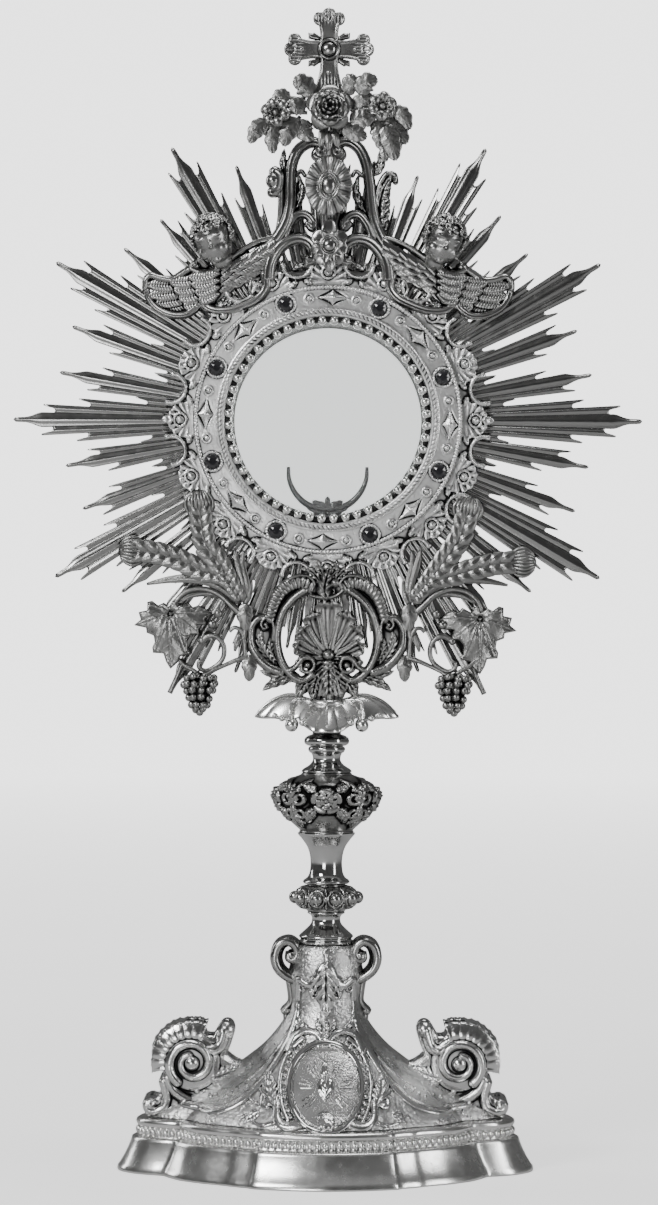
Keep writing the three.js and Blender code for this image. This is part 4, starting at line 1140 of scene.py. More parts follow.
def cross():
    relief = Relief(-26, 26, 584.6, 650.4, 0.36)
    centre = 626.6
    for turn, reach in ((0, 25.2), (90, 23.2), (180, 25.2), (270, 41.0)):
        c, s = math.cos(math.radians(turn)), math.sin(math.radians(turn))
        w = (slice(None), slice(None))
        du, dv = relief.U, relief.V - centre
        along, across = du * c + dv * s, -du * s + dv * c
        t = np.clip(along / min(reach, 25), 0, 1)
        half = 5.0 + 3.6 * np.clip((t - 0.35) / 0.6, 0, 1) ** 1.6
        inside = np.minimum(np.minimum(half - np.abs(across), (reach if reach > 30 else reach - 5.4)
                                       - along), along + 4)
        if reach < 30:
            for side, back in ((0, 3.8), (1, 6.0), (-1, 6.0)):
                lobe = 3.8 - np.hypot(across - side * 5.1, along - reach + back)
                inside = np.maximum(inside, lobe)
        rim = 0.7 * np.exp(-((inside - 0.75) / 0.55) ** 2)
        lines = 0.16 * np.cos(across * 3.4) * np.clip((along - 13) / 4, 0, 1) * np.clip(inside, 0, 1)
        relief.put(w, inside, 2.4 + rim + lines + 0.25 * np.clip(along / 25, 0, 1))
        if reach < 30:
            tip = 2.0 * np.exp(-((along - reach + 2.4) / 2) ** 2 - (across / 2.4) ** 2)
            relief.h = np.where(inside > 0, relief.h + 0.5 * tip, relief.h)
    for su in (-1, 1):
        for sv in (-1, 1):
            relief.fill([(su * 5, centre + sv * 4.6), (su * 11.6, centre + sv * 6.2),
                         (su * 11.8, centre + sv * 9.6), (su * 9.4, centre + sv * 9.0),
                         (su * 8.4, centre + sv * 9.6), (su * 4.6, centre + sv * 7)], 1.9, 0, soft=0.8)
    relief.ring(0, centre, 5.3, 5.3, 1.7, 1.2, 2.6)
    relief.dome(0, centre, 4.0, 4.0, 2.4, 2.6)
    for du, dv in ((0, 16), (15, 0), (-15, 0), (0, -13)):
        relief.dome(du, centre + dv, 0.9, 0.9, 0.5, 2.6)
    heap = Heap()
    relief.into(heap, facing(0.6), 0.0)
    heap.piece("cross_top", SILVER, replaces=("cross",))


def rose(heap, centre, size):
    """A full rose facing -Y: outer petals rolled back and a tight heart."""
    centre = np.asarray(centre, float)
    for count, near, far, half, rise, curl, cup, lift, turn in ((5, 0.3, 1.02, 0.46, 0.32, 1.0, 0.1, 0.0,
                                                                 18),
                                                                (5, 0.22, 0.8, 0.42, 0.46, 0.5, 0.26, 0.05,
                                                                 54),
                                                                (4, 0.12, 0.56, 0.36, 0.6, 0.1, 0.34, 0.14,
                                                                 20),
                                                                (3, 0.05, 0.34, 0.26, 0.62, -0.1, 0.36,
                                                                 0.24, 0),
                                                                (3, 0.0, 0.18, 0.16, 0.5, -0.3, 0.3, 0.38,
                                                                 60)):
        for k in range(count):
            petal(heap, centre + FRONT * (lift + 0.02 * k) * size, 360 * k / count + turn, near * size,
                  far * size, half * size, rise * size, curl, cup * size, 0.08 * size)
    ball(heap, centre + FRONT * 0.2 * size, (0.45 * size, 0.25 * size, 0.45 * size), tarnish=0.7)


def blossom(heap, centre, size, petals, axis=(0, -1, 0), turn=0):
    """An open blossom of round cupped petals about a bead."""
    centre = np.asarray(centre, float)
    for k in range(petals):
        a = 360 * k / petals + turn
        side, up, toward = frame_of(axis)
        out = math.cos(math.radians(a)) * side + math.sin(math.radians(a)) * up
        ball(heap, centre + out * size * 0.62 + toward * 0.5, (size * 0.36, size * 0.3, size * 0.38),
             rings=10, segments=16, tarnish=-0.05)
        petal(heap, centre, a, 0.2 * size, size, 0.42 * size, 0.3 * size, 0.9, 0.22 * size, 0.09 * size,
              axis)
    ball(heap, centre + np.asarray(axis, float) * 0.8, (size * 0.22,) * 3, tarnish=0.1)


def bouquet():
    heap = Heap()
    rose(heap, (0.5, -11.5, 592.0), 13.3)
    blossom(heap, (-29.5, -12, 589.5), 8.8, 6, (-0.25, -1, 0.1), 15)
    blossom(heap, (29.5, -12, 593), 8.8, 6, (0.25, -1, 0.1), 40)
    sprays = [((-9, 600), (-15, 606), (-20, 606.5), 5.6), ((9, 600), (13, 607.5), (15, 610), 4.6),
              ((17, 600), (21, 606.5), (27, 607.5), 5.2), ((16, 591), (19, 597), (24, 600), 4.6),
              ((-13, 592), (-18, 593.5), (-23, 593), 4.8), ((12, 584), (19, 586.5), (26, 589), 5.4),
              ((-13, 586), (-14, 580), (-9, 574.5), 5.0), ((-17, 586), (-22, 580), (-25, 571), 5.0),
              ((8, 582), (15, 578), (21, 575.5), 4.6), ((26, 586), (28.5, 578), (29, 569.5), 4.6),
              ((-30, 584), (-31.5, 576), (-31, 567), 4.2), ((-35, 585), (-40, 580), (-44, 572.5), 4.4),
              ((33, 588), (38, 580), (43.5, 573), 5.8), ((36, 592), (41.5, 588), (45, 580.5), 4.2),
              ((31, 582), (35, 572.5), (37, 563), 5.2), ((-22, 598), (-27, 599.5), (-31, 597), 3.6),
              ((30, 572), (31.5, 567), (31, 562.5), 2.8)]
    for k, (a, b, c, half) in enumerate(sprays):
        depth = 9.8 + 1.6 * ((k * 7) % 3)
        path = [(a[0], -depth, a[1]), (b[0], -depth - 1.2, b[1]), (c[0], -depth - 0.7, c[1])]
        blade(heap, path, half * 1.12, fold=0.2, lobes=4, serration=0.2, veins=0.1, thick=0.9)
    stems = [[(-12, -9, 590), (-20, -9.4, 590), (-29, -10, 589)],
             [(12, -9, 591), (20, -9.4, 594), (29, -10, 593)],
             [(-16, -8.6, 588), (-22, -8.6, 581), (-30, -8.8, 578), (-38, -9, 579)],
             [(20, -8.6, 592), (30, -8.8, 585), (36, -9, 576)],
             [(0, -8.8, 579), (0, -8.8, 572), (0, -8.8, 566)],
             [(-13, -8.6, 597), (-24, -8.6, 598.5), (-31, -8.8, 596)]]
    for path in stems:
        tube(heap, spline(path, 5), 1.15, 8, 0.15)
    for u, v in ((-3, 576), (0, 574), (3, 576)):
        blade(heap, [(u, -9.4, v + 6), (u * 1.3, -11, v), (u * 1.6, -10, v - 5)], 2.2, fold=0.3, lobes=2)
    tube(heap, [(0, -12, 592), (0, -0.2, 592)], 4.0, 16)
    heap.piece("bouquet", SILVER_LEAF, replaces=("rose_bouquet",))


# ---------------------------------------------------------------- cherubs
def feather(relief, points, half, height, base, barbs=0.1):
    """A long feather: rounded tip, a thin quill and slanted barbs."""
    path = spline(points, 6)

    def wide(t):
        tip = np.sqrt(np.maximum(1 - np.clip((t - 0.72) / 0.28, 0, 1) ** 2, 0.002))
        return half * (0.45 + 0.55 * np.minimum(1, t * 3)) * tip

    def tall(t, q, s):
        a = np.abs(q)
        barb = barbs * np.cos(2 * math.pi * (s / 1.5 + 0.9 * a))
        return height * (0.72 + 0.28 * np.sqrt(np.maximum(1 - a * a, 0)) + barb
                         - 0.22 * np.exp(-(a / 0.14) ** 2) - 0.35 * (a > 0.86))

    relief.ribbon(path, wide, tall, base)


def wing(sign):
    relief = Relief(-104, -30, 474.5, 524.5, 0.4)
    # long outer feathers, rear row first
    for k, (u, v) in enumerate(((-85, 479.5), (-91, 481), (-96.4, 484), (-100, 488.6), (-101.4, 494.4))):
        root = (-70 + 0.4 * k, 487 + 3.2 * k)
        middle = ((root[0] + u) / 2 - 1, (root[1] + v) / 2 - 2.6)
        feather(relief, [root, middle, (u, v)], 3.9, 1.9, 1.0 + 0.55 * k)
    for k in range(4):
        root = (-67 + 0.2 * k, 488.5 + 4.0 * k)
        tip = (-81 - 2.6 * k, 482.5 + 4.4 * k)
        feather(relief, [root, ((root[0] + tip[0]) / 2, (root[1] + tip[1]) / 2 - 1.8), tip], 3.5, 1.8, 3.4
                + 0.5 * k)
    for k in range(4):
        root = (-62, 489 + 3.8 * k)
        tip = (-72.5 - 1.8 * k, 486 + 4.2 * k)
        feather(relief, [root, ((root[0] + tip[0]) / 2, (root[1] + tip[1]) / 2 - 1.2), tip], 3.0, 1.7, 5.2
                + 0.4 * k)
    # soft rows of the inner wing
    rng = np.random.default_rng(11)
    for row in range(4):
        for k in range(7):
            t = k / 6
            u = -65 + 30 * t + rng.uniform(-0.5, 0.5) + 1.6 * row
            v = 487.0 + 20 * t ** 0.9 + 4.3 * row * (1 - 0.25 * t) + rng.uniform(-0.4, 0.4)
            if v > 507 + 11 * t:
                continue
            bend = rng.uniform(-1.0, 1.0)
            feather(relief, [(u + 5.0, v + 4.4), (u + 1.8, v + 0.6 + bend), (u - 3.6, v - 3.8)], 3.4, 2.0,
                    1.2 + 0.8 * row + 0.35 * k, 0.03)
    # polished leading edges
    relief.scroll(spline([(-76.5, 503), (-70, 501), (-62, 503), (-54, 509.5), (-46, 515), (-38, 519),
                          (-31.5, 521)]), 2.2, 1.6, 4.4, 3.6, "round")
    relief.scroll(spline([(-74, 505), (-80, 501.5), (-87, 497.5), (-94, 498), (-99, 499.5), (-102, 497),
                          (-102.4, 492.5)]), 2.4, 1.8, 3.8, 3.0, "round")
    relief.fill([(-84, 499), (-76, 508), (-70, 511), (-66, 505), (-70, 500)], 3.2, 1.2)
    # large C-scrolls beneath
    relief.scroll(spline([(-35.5, 500), (-34.4, 494), (-38, 488), (-45, 484), (-55, 480.6), (-64, 480.4),
                          (-69.6, 483.6), (-69.4, 488), (-66.2, 489.2), (-65, 486.4)]), 3.2, 2.3, 5.2, 1.6)
    relief.scroll(spline([(-72, 486), (-74, 481.5), (-80, 477.8), (-88, 477.8), (-96, 481.5), (-100.5, 487),
                          (-102, 493)]), 2.4, 1.9, 4.6, 1.4)
    relief.dome(-67.0, 486.6, 1.9, 1.9, 4.2, 2.0)
    relief.scroll(spline([(-42, 487.4), (-44.4, 492), (-42.4, 497), (-38.6, 498.2)], 5), 1.4, 1.1, 3.4, 1.4,
                  "round")
    relief.leaf(spline([(-60, 482), (-54, 486.5), (-48, 486)], 5), 2.6, 2.6, 1.4, 4)
    relief.leaf(spline([(-40, 492), (-38, 500), (-40, 506)], 5), 2.2, 2.6, 1.4, 4)
    heap = Heap()

    def place(u, v, h):
        return sign * -u, np.full_like(u, 0.4) - h, v

    relief.into(heap, place, 0.0)
    return heap


def cherub_head(sign):
    """A generic calm child's head on even proportions, turned down towards the middle, with loose curls."""
    parts = Heap()
    ball(parts, (0, 0, 1.5), (10.6, 11.4, 11.8), rings=24, segments=36)
    ball(parts, (0, -1.6, -4.5), (9.4, 9.6, 9.4), rings=22, segments=32)
    for s in (-1, 1):
        ball(parts, (s * 4.8, -6.2, -5.2), (4.3, 3.9, 4.2), rings=14, segments=20)
        ball(parts, (s * 3.9, -9.0, 0.1), (2.6, 1.4, 1.2), rings=10, segments=16)
        ball(parts, (s * 4.0, -9.9, 2.9), (3.6, 1.3, 1.0), rings=10, segments=16)
        ball(parts, (s * 10.2, 0.5, -2.2), (1.5, 2.6, 3.2), rings=10, segments=16)
    ball(parts, (0, -10.9, -2.4), (1.5, 2.3, 1.3), rings=12, segments=16)
    ball(parts, (0, -10.4, -0.2), (1.05, 1.8, 2.6), rings=12, segments=16)
    ball(parts, (0, -9.4, -6.4), (2.3, 1.5, 0.75), rings=10, segments=16)
    ball(parts, (0, -9.2, -7.8), (1.9, 1.6, 0.8), rings=10, segments=16)
    ball(parts, (0, -7.6, -10.6), (2.8, 2.6, 2.3), rings=12, segments=18)
    ball(parts, (0, 1, -12.5), (6.4, 6.4, 6.0), rings=14, segments=20)
    verts, faces, stain = melted(parts, 0.4, 7, 0.6)
    curls = Heap()
    rng = np.random.default_rng(21)
    for _ in range(230):
        a = math.acos(rng.uniform(-0.55, 1))
        b = rng.uniform(0, 2 * math.pi)
        d = np.array([math.sin(a) * math.cos(b), math.sin(a) * math.sin(b), math.cos(a)])
        hairline = 0.42 + 0.12 * abs(d[0])
        if d[1] < -0.25 and d[2] < hairline:
            continue
        if d[2] < -0.35 and d[1] < 0.1:
            continue
        at = d * [11.0, 11.8, 12.2] + [0, 0.2, 1.6]
        spin = rng.uniform(0, 2 * math.pi)
        side, up, out = frame_of(d)
        t = np.linspace(0, 1, 13)
        r = 2.3 * (1 - 0.72 * t)
        phase = spin + t * 4.6
        loop = (at + (r * np.cos(phase))[:, None] * side + (r * np.sin(phase))[:, None] * up
                + (0.5 + 0.9 * t)[:, None] * out)
        tube(curls, loop, 0.95 * (1 - 0.35 * t), 7, np.linspace(0.12, -0.2, 13).repeat(7))
    heap = Heap()
    heap.add(verts, faces, stain)
    heap.add(np.concatenate(curls.verts), curls.faces, np.concatenate(curls.tarnish))
    roll, yaw, nod = (Matrix.Rotation(math.radians(angle), 3, axis)
                      for angle, axis in ((18 * sign, "Y"), (14 * sign, "Z"), (12, "X")))
    turn = roll @ yaw @ nod
    at = np.concatenate(heap.verts) * 0.98 @ np.array(turn).T + [sign * 64.2, -9.6, 519.2]
    at[:, 1] = np.minimum(at[:, 1], 0.5)
    return at, heap.faces, np.concatenate(heap.tarnish)


def cherubs():
    for sign, name, node in ((-1, "cherub_with_wings_l", "cherub_left"),
                             (1, "cherub_with_wings_r", "cherub_right")):
        heap = wing(sign)
        heap.add(*cherub_head(sign))
        heap.piece(name, SILVER, replaces=(node,))


# ---------------------------------------------------------------- wheat and vine
def turned_to(direction):
    """A rotation that carries the z axis to a direction."""
    return np.array(Vector((0, 0, 1)).rotation_difference(Vector(direction)).to_matrix())


def ear(heap, points, half, y):
    """An ear of corn along points (x, z) from root to tip: overlapping husks, then a striated end."""
    path = spline(points, 8)
    run = np.concatenate([[0], np.cumsum(np.hypot(*np.diff(path, axis=0).T))])
    total = run[-1]

    def at(s):
        return np.array([np.interp(s, run, path[:, 0]), np.interp(s, run, path[:, 1])])

    s = 2.0
    while s < total - 11:
        along = at(s + 1) - at(s - 1)
        along /= np.hypot(*along)
        across = np.array([-along[1], along[0]])
        grow = 0.6 + 0.4 * min(1, s / (0.4 * total))
        for side in (-1, 1):
            lean = along + side * across * 0.5
            lean /= np.hypot(*lean)
            place = at(s + 0.8 * (side > 0)) + across * side * half * 0.44 * grow
            ball(heap, (place[0], y - 1.0, place[1]), (3.0 * grow, 2.2, 5.6 * grow),
                 turned_to((lean[0], -0.2, lean[1])), 14, 16, 0.05)
            tip = place + lean * 6.2 * grow
            start = place - lean * 4.4 * grow
            blade(heap, [(start[0], y - 2.2, start[1]), (place[0], y - 3.7, place[1]),
                         (tip[0], y - 2.6, tip[1])], 3.3 * grow, fold=0.42, lobes=0, serration=0, veins=0.0,
                  thick=0.7, across=11, stain=0.05)
        s += 6.2 * grow
    along = at(total) - at(total - 3)
    along /= np.hypot(*along)
    across = np.array([-along[1], along[0]])
    base = at(total - 7)
    swell = np.linspace(0, 1, 15)
    for j in range(-4, 5):
        bulge = math.cos(j * 0.36)
        curve = []
        for t in swell:
            spread = j * 1.62 * (0.45 + 0.75 * math.sin(math.pi * min(1, 0.2 + 0.72 * t)))
            point = base + along * (-5 + 12.6 * t - 0.05 * j * j * t) + across * spread
            curve.append((point[0], y - 0.4 - 3.2 * bulge * math.sin(math.pi * (0.12 + 0.82 * t)),
                          point[1]))
        tube(heap, curve, 1.15 * np.sin(math.pi * (0.12 + 0.84 * swell)) ** 0.5, 8, 0.0)
    ball(heap, (base[0] + along[0], y - 0.6, base[1] + along[1]), (half * 0.9, 2.6, 7.0),
         turned_to((along[0], 0, along[1])), 12, 16, 0.5)
    tube(heap, np.column_stack([path[:, 0], np.full(len(path), y - 0.4), path[:, 1]]), 2.6, 8, 0.4)


def wheat():
    for sign, name, node, first, second in (
            (-1, "corn_l", "wheat_spray_left", [(48, 318), (60, 338), (67, 347), (70, 357), (72.5, 379)],
             [(49, 321), (58, 330.5), (70, 334.5), (84, 341), (99, 345), (116, 345.5)]),
            (1, "corn_r", "wheat_spray_right", [(48, 318), (62, 336), (70, 347), (75, 356), (80, 376)],
             [(49, 320), (58, 329), (70, 332), (84, 336.5), (99, 339.5), (116, 340)])):
        heap = Heap()
        ear(heap, [(sign * x, z) for x, z in first], 6.6, -2.0)
        ear(heap, [(sign * x, z) for x, z in second], 6.4, -1.6)
        for half, points in ((2.6, [(49, -1.5, 316), (60, -3.2, 325.5), (73, -3.8, 330), (88, -2.6, 329.5),
                                    (101, -1.2, 327)]), (1.9,
                                                         [(46.5, -1.5, 316), (46.8, -3.4, 326),
                                                          (50, -3.4, 338), (52, -1.6, 346.5)]),
                             (1.7, [(46, -1.5, 318), (45, -3.2, 327), (47.4, -3, 338), (47, -1.4, 346)]),
                             (1.8, [(47, -1.5, 314), (43.8, -2.6, 321), (42.4, -1.6, 329)]),
                             (2.0, [(52, -1.5, 318), (64, -1.2, 322), (76, -1.4, 321), (84, -1, 316)])):
            path = [(sign * x, y, z) for x, y, z in points]
            blade(heap, path, half, fold=0.35, lobes=0, serration=0, veins=0.12, thick=0.8, blunt=0.9,
                  across=9)
            tube(heap, spline(path, 4), 0.5, 6, 0.1)
        ball(heap, (sign * 46.5, -2.0, 311), (3.8, 2.6, 5.4), rings=12, segments=18)
        blade(heap, [(sign * 45, -4.2, 316), (sign * 46, -5.2, 309), (sign * 45, -3.6, 301)], 4.6, fold=0.3,
              lobes=3)
        heap.piece(name, SILVER_LEAF, replaces=(node,))


LEAF_EDGE = [(-20.7, -6.6), (-16.7, -3.4), (-18, 0.8), (-13, 1.8), (-13.2, 6.4), (-10.4, 7.2), (-7, 4.6),
             (-3.8, 6.2), (-0.6, 3.8), (1.2, 7.6), (3.4, 6.4), (4.8, 3.6), (10, 6.4), (12.4, 3.6),
             (15.4, 4.8), (18.9, 3.4), (23.6, 0), (19.2, -2.8), (20, -6), (14.8, -6.4), (16.2, -11.6),
             (11.6, -11.8), (9.4, -14.4), (9.8, -19.6), (11.4, -22.4), (5.6, -24), (4.4, -27), (0, -31),
             (-2.6, -26.8), (-4, -22.4), (-9.8, -22), (-10.2, -18.8), (-8.8, -16), (-9.4, -12.4),
             (-13.4, -10.8), (-13.8, -8)]
LEAF_VEINS = [(-19.5, -6.2), (-12, 5.2), (21, 0.6), (8.6, -20.5), (-0.2, -29.5), (-8.6, -20.6), (14, -9.6),
              (11, 5)]


def vine_leaf(heap, centre, sign, y):
    edge = np.array(LEAF_EDGE) * [sign, 1] + centre
    relief = Relief(edge[:, 0].min() - 1, edge[:, 0].max() + 1, edge[:, 1].min() - 1, edge[:, 1].max() + 1,
                    0.4)
    relief.fill(edge, 1.8, 0, soft=0.8)
    base = np.array(centre)
    for vein in LEAF_VEINS:
        end = base + np.array(vein) * [sign, 1]
        path = spline([base, base * 0.5 + end * 0.5 + [0, 0.8], end], 6)
        relief.ribbon(path, (0.9, 0.4), lambda t, q, s: 0.4 * np.sqrt(np.maximum(1 - q * q, 0)), 0, "add")
        relief.ribbon(path, (3.4, 2.2), lambda t, q, s: -0.3 * np.cos(q * 1.57) ** 2, 0, "add")
        direction = (end - base) / np.hypot(*(end - base))
        across = np.array([-direction[1], direction[0]])
        length = np.hypot(*(end - base))
        for k in range(1, int(length / 4.2)):
            for side in (-1, 1):
                start = base + direction * (4.2 * k)
                tip = start + (direction * 0.9 + across * side) * 3.2
                relief.ribbon(np.array([start, tip]), (0.55, 0.3), lambda t, q, s: 0.14 * (1 - q * q), 0,
                              "add")

    def bow(u, v):
        du, dv = (u - base[0]) / 22, (v - base[1] + 10) / 20
        return 2.2 * (1 - du ** 2 - 0.8 * dv ** 2) + 1.1 * np.cos(du * 6 + 1) * np.cos(dv * 5)

    relief.into(heap, facing(y, bow), 0.0)


def grapes(heap, centre):
    rng = np.random.default_rng(5)
    for ring, (z, radius, count) in enumerate(((7.5, 7.6, 9), (7.8, 3.4, 5), (3.8, 8.6, 10), (3.6, 4.4, 5),
                                               (0, 7.4, 9), (-3.8, 6.0, 7), (-7.4, 4.4, 6), (-10.2, 2.4, 4),
                                               (-12.4, 0.4, 1))):
        for k in range(count):
            a = 2 * math.pi * (k + 0.5 * (ring % 2)) / count + rng.uniform(-0.15, 0.15)
            r = radius + rng.uniform(-0.5, 0.5)
            size = rng.uniform(1.95, 2.35)
            ball(heap, (centre[0] + r * math.cos(a), centre[1] + 0.62 * r * math.sin(a), centre[2] + z
                        + rng.uniform(-0.7, 0.7)), (size, size, size), rings=10, segments=16, tarnish=-0.1)
    ball(heap, (centre[0], centre[1], centre[2] + 1), (6.5, 4.0, 9.5), tarnish=0.7)


def vines():
    for sign, name, node in ((-1, "vine_l", "vine_spray_left"), (1, "vine_r", "vine_spray_right")):
        heap = Heap()

        def put(points, radius, **options):
            path = spline([(sign * x, y, z) for x, y, z in points])
            size = np.interp(np.linspace(0, 1, len(path)), np.linspace(0, 1, len(np.atleast_1d(radius))),
                             np.atleast_1d(radius))
            tube(heap, path, size, 10, **options)

        centre = (-87.5, 310.5) if sign < 0 else (85.5, 308.0)
        vine_leaf(heap, centre, -sign, -2.6)
        put([(46.5, -1.8, 309), (53, -2.4, 314.5), (60, -2.6, 321), (69, -2.8, 324.4), (78, -3.0, 323),
             (84, -3.4, 318), (86.5, -3.4, 312)], [2.3, 1.5, 1.2])
        put([(70, -3.2, 295), (66.5, -3.6, 298), (62, -3.8, 297.8), (58.2, -3.6, 293.5), (57.6, -3.2, 288),
             (59.6, -3, 283.4), (64, -3.2, 280), (68, -3.6, 278.6), (71.4, -4, 280.4), (71.6, -4, 283.4),
             (69.6, -4, 284)], [1.7, 1.4, 1.3, 1.1])
        put([(44.5, -1.8, 286.5), (50, -2.4, 284.8), (57, -2.8, 281.8), (63, -3.4, 279), (67.5, -4.2, 276)],
            [1.5, 1.2, 1.2])
        put([(54.6, -2.4, 300.6), (52, -2.8, 302.8), (48.6, -2.8, 301.4), (46.4, -2.4, 296), (46, -2, 290),
             (45.4, -1.8, 285)], [1.1, 1.2, 1.5])
        put([(46.5, -1.8, 309), (46, -1.8, 300), (47, -2.2, 296)], [2.2, 1.6])
        put([(81, -2.6, 283), (84, -1.6, 275), (88, -1.2, 266)], [1.3, 1.5])
        put([(83.6, -3.6, 286), (80, -4.2, 282), (75, -4.4, 279), (70.5, -4.6, 276)], [1.1, 1.3])
        for x, z in ((60.8, 310.4), (64.3, 304.6)):
            ball(heap, (sign * x, -4.2, z), (2.5, 2.4, 2.5), rings=12, segments=18, tarnish=-0.15)
            put([(x, -2.4, z), (x - 3, -2.2, z + 4), (58, -2.4, 319)], [0.7, 0.7])
        ball(heap, (sign * 70, -3.4, 295.4), (2.0, 2.0, 2.0), rings=10, segments=14)
        blade(heap, [(sign * 44.6, -2.2, 287.5), (sign * 43.4, -4.0, 281), (sign * 43.6, -2.4, 272.8)], 4.4,
              fold=0.25, lobes=3)
        blade(heap, [(sign * 49, -2.2, 299), (sign * 50.6, -2.8, 294), (sign * 51.6, -2.0, 289.6)], 1.6,
              fold=0.3, lobes=0, serration=0)
        grapes(heap, (sign * 71, -6.2, 267.5))
        heap.piece(name, SILVER_LEAF, replaces=(node,))


# ---------------------------------------------------------------- shell cartouche and leaf collar
def shell(relief, u, v, lobes, base, height):
    """Fluted scalloped lobes spread from (u, v); lobes are (angle, length, half width)."""
    for angle, length, half in lobes:
        a = math.radians(angle)
        direction = np.array([math.sin(a), math.cos(a)])
        tip = np.array([u, v]) + direction * length
        across = np.array([direction[1], -direction[0]])
        middle = np.array([u, v]) + direction * length * 0.55 + across * 0.03 * length * np.sign(angle)

        def wide(t, half=half):
            tip = np.sqrt(np.maximum(1 - np.clip((t - 0.86) / 0.14, 0, 1) ** 2 * 0.9, 0.01))
            return half * (0.16 + 0.84 * t ** 0.75) * tip

        def tall(t, q, s):
            a = np.abs(q)
            trough = 1.15 * a ** 1.4 + 0.3
            lip = 0.42 * np.exp(-((t - 0.95) / 0.05) ** 2)
            return height * (0.3 + 0.5 * trough * (0.3 + 0.7 * t) + 0.07 * np.cos(q * 12) * t + lip
                             - 0.5 * (a > 0.95))

        relief.ribbon(spline([(u, v), middle, tip]), wide, tall, base)


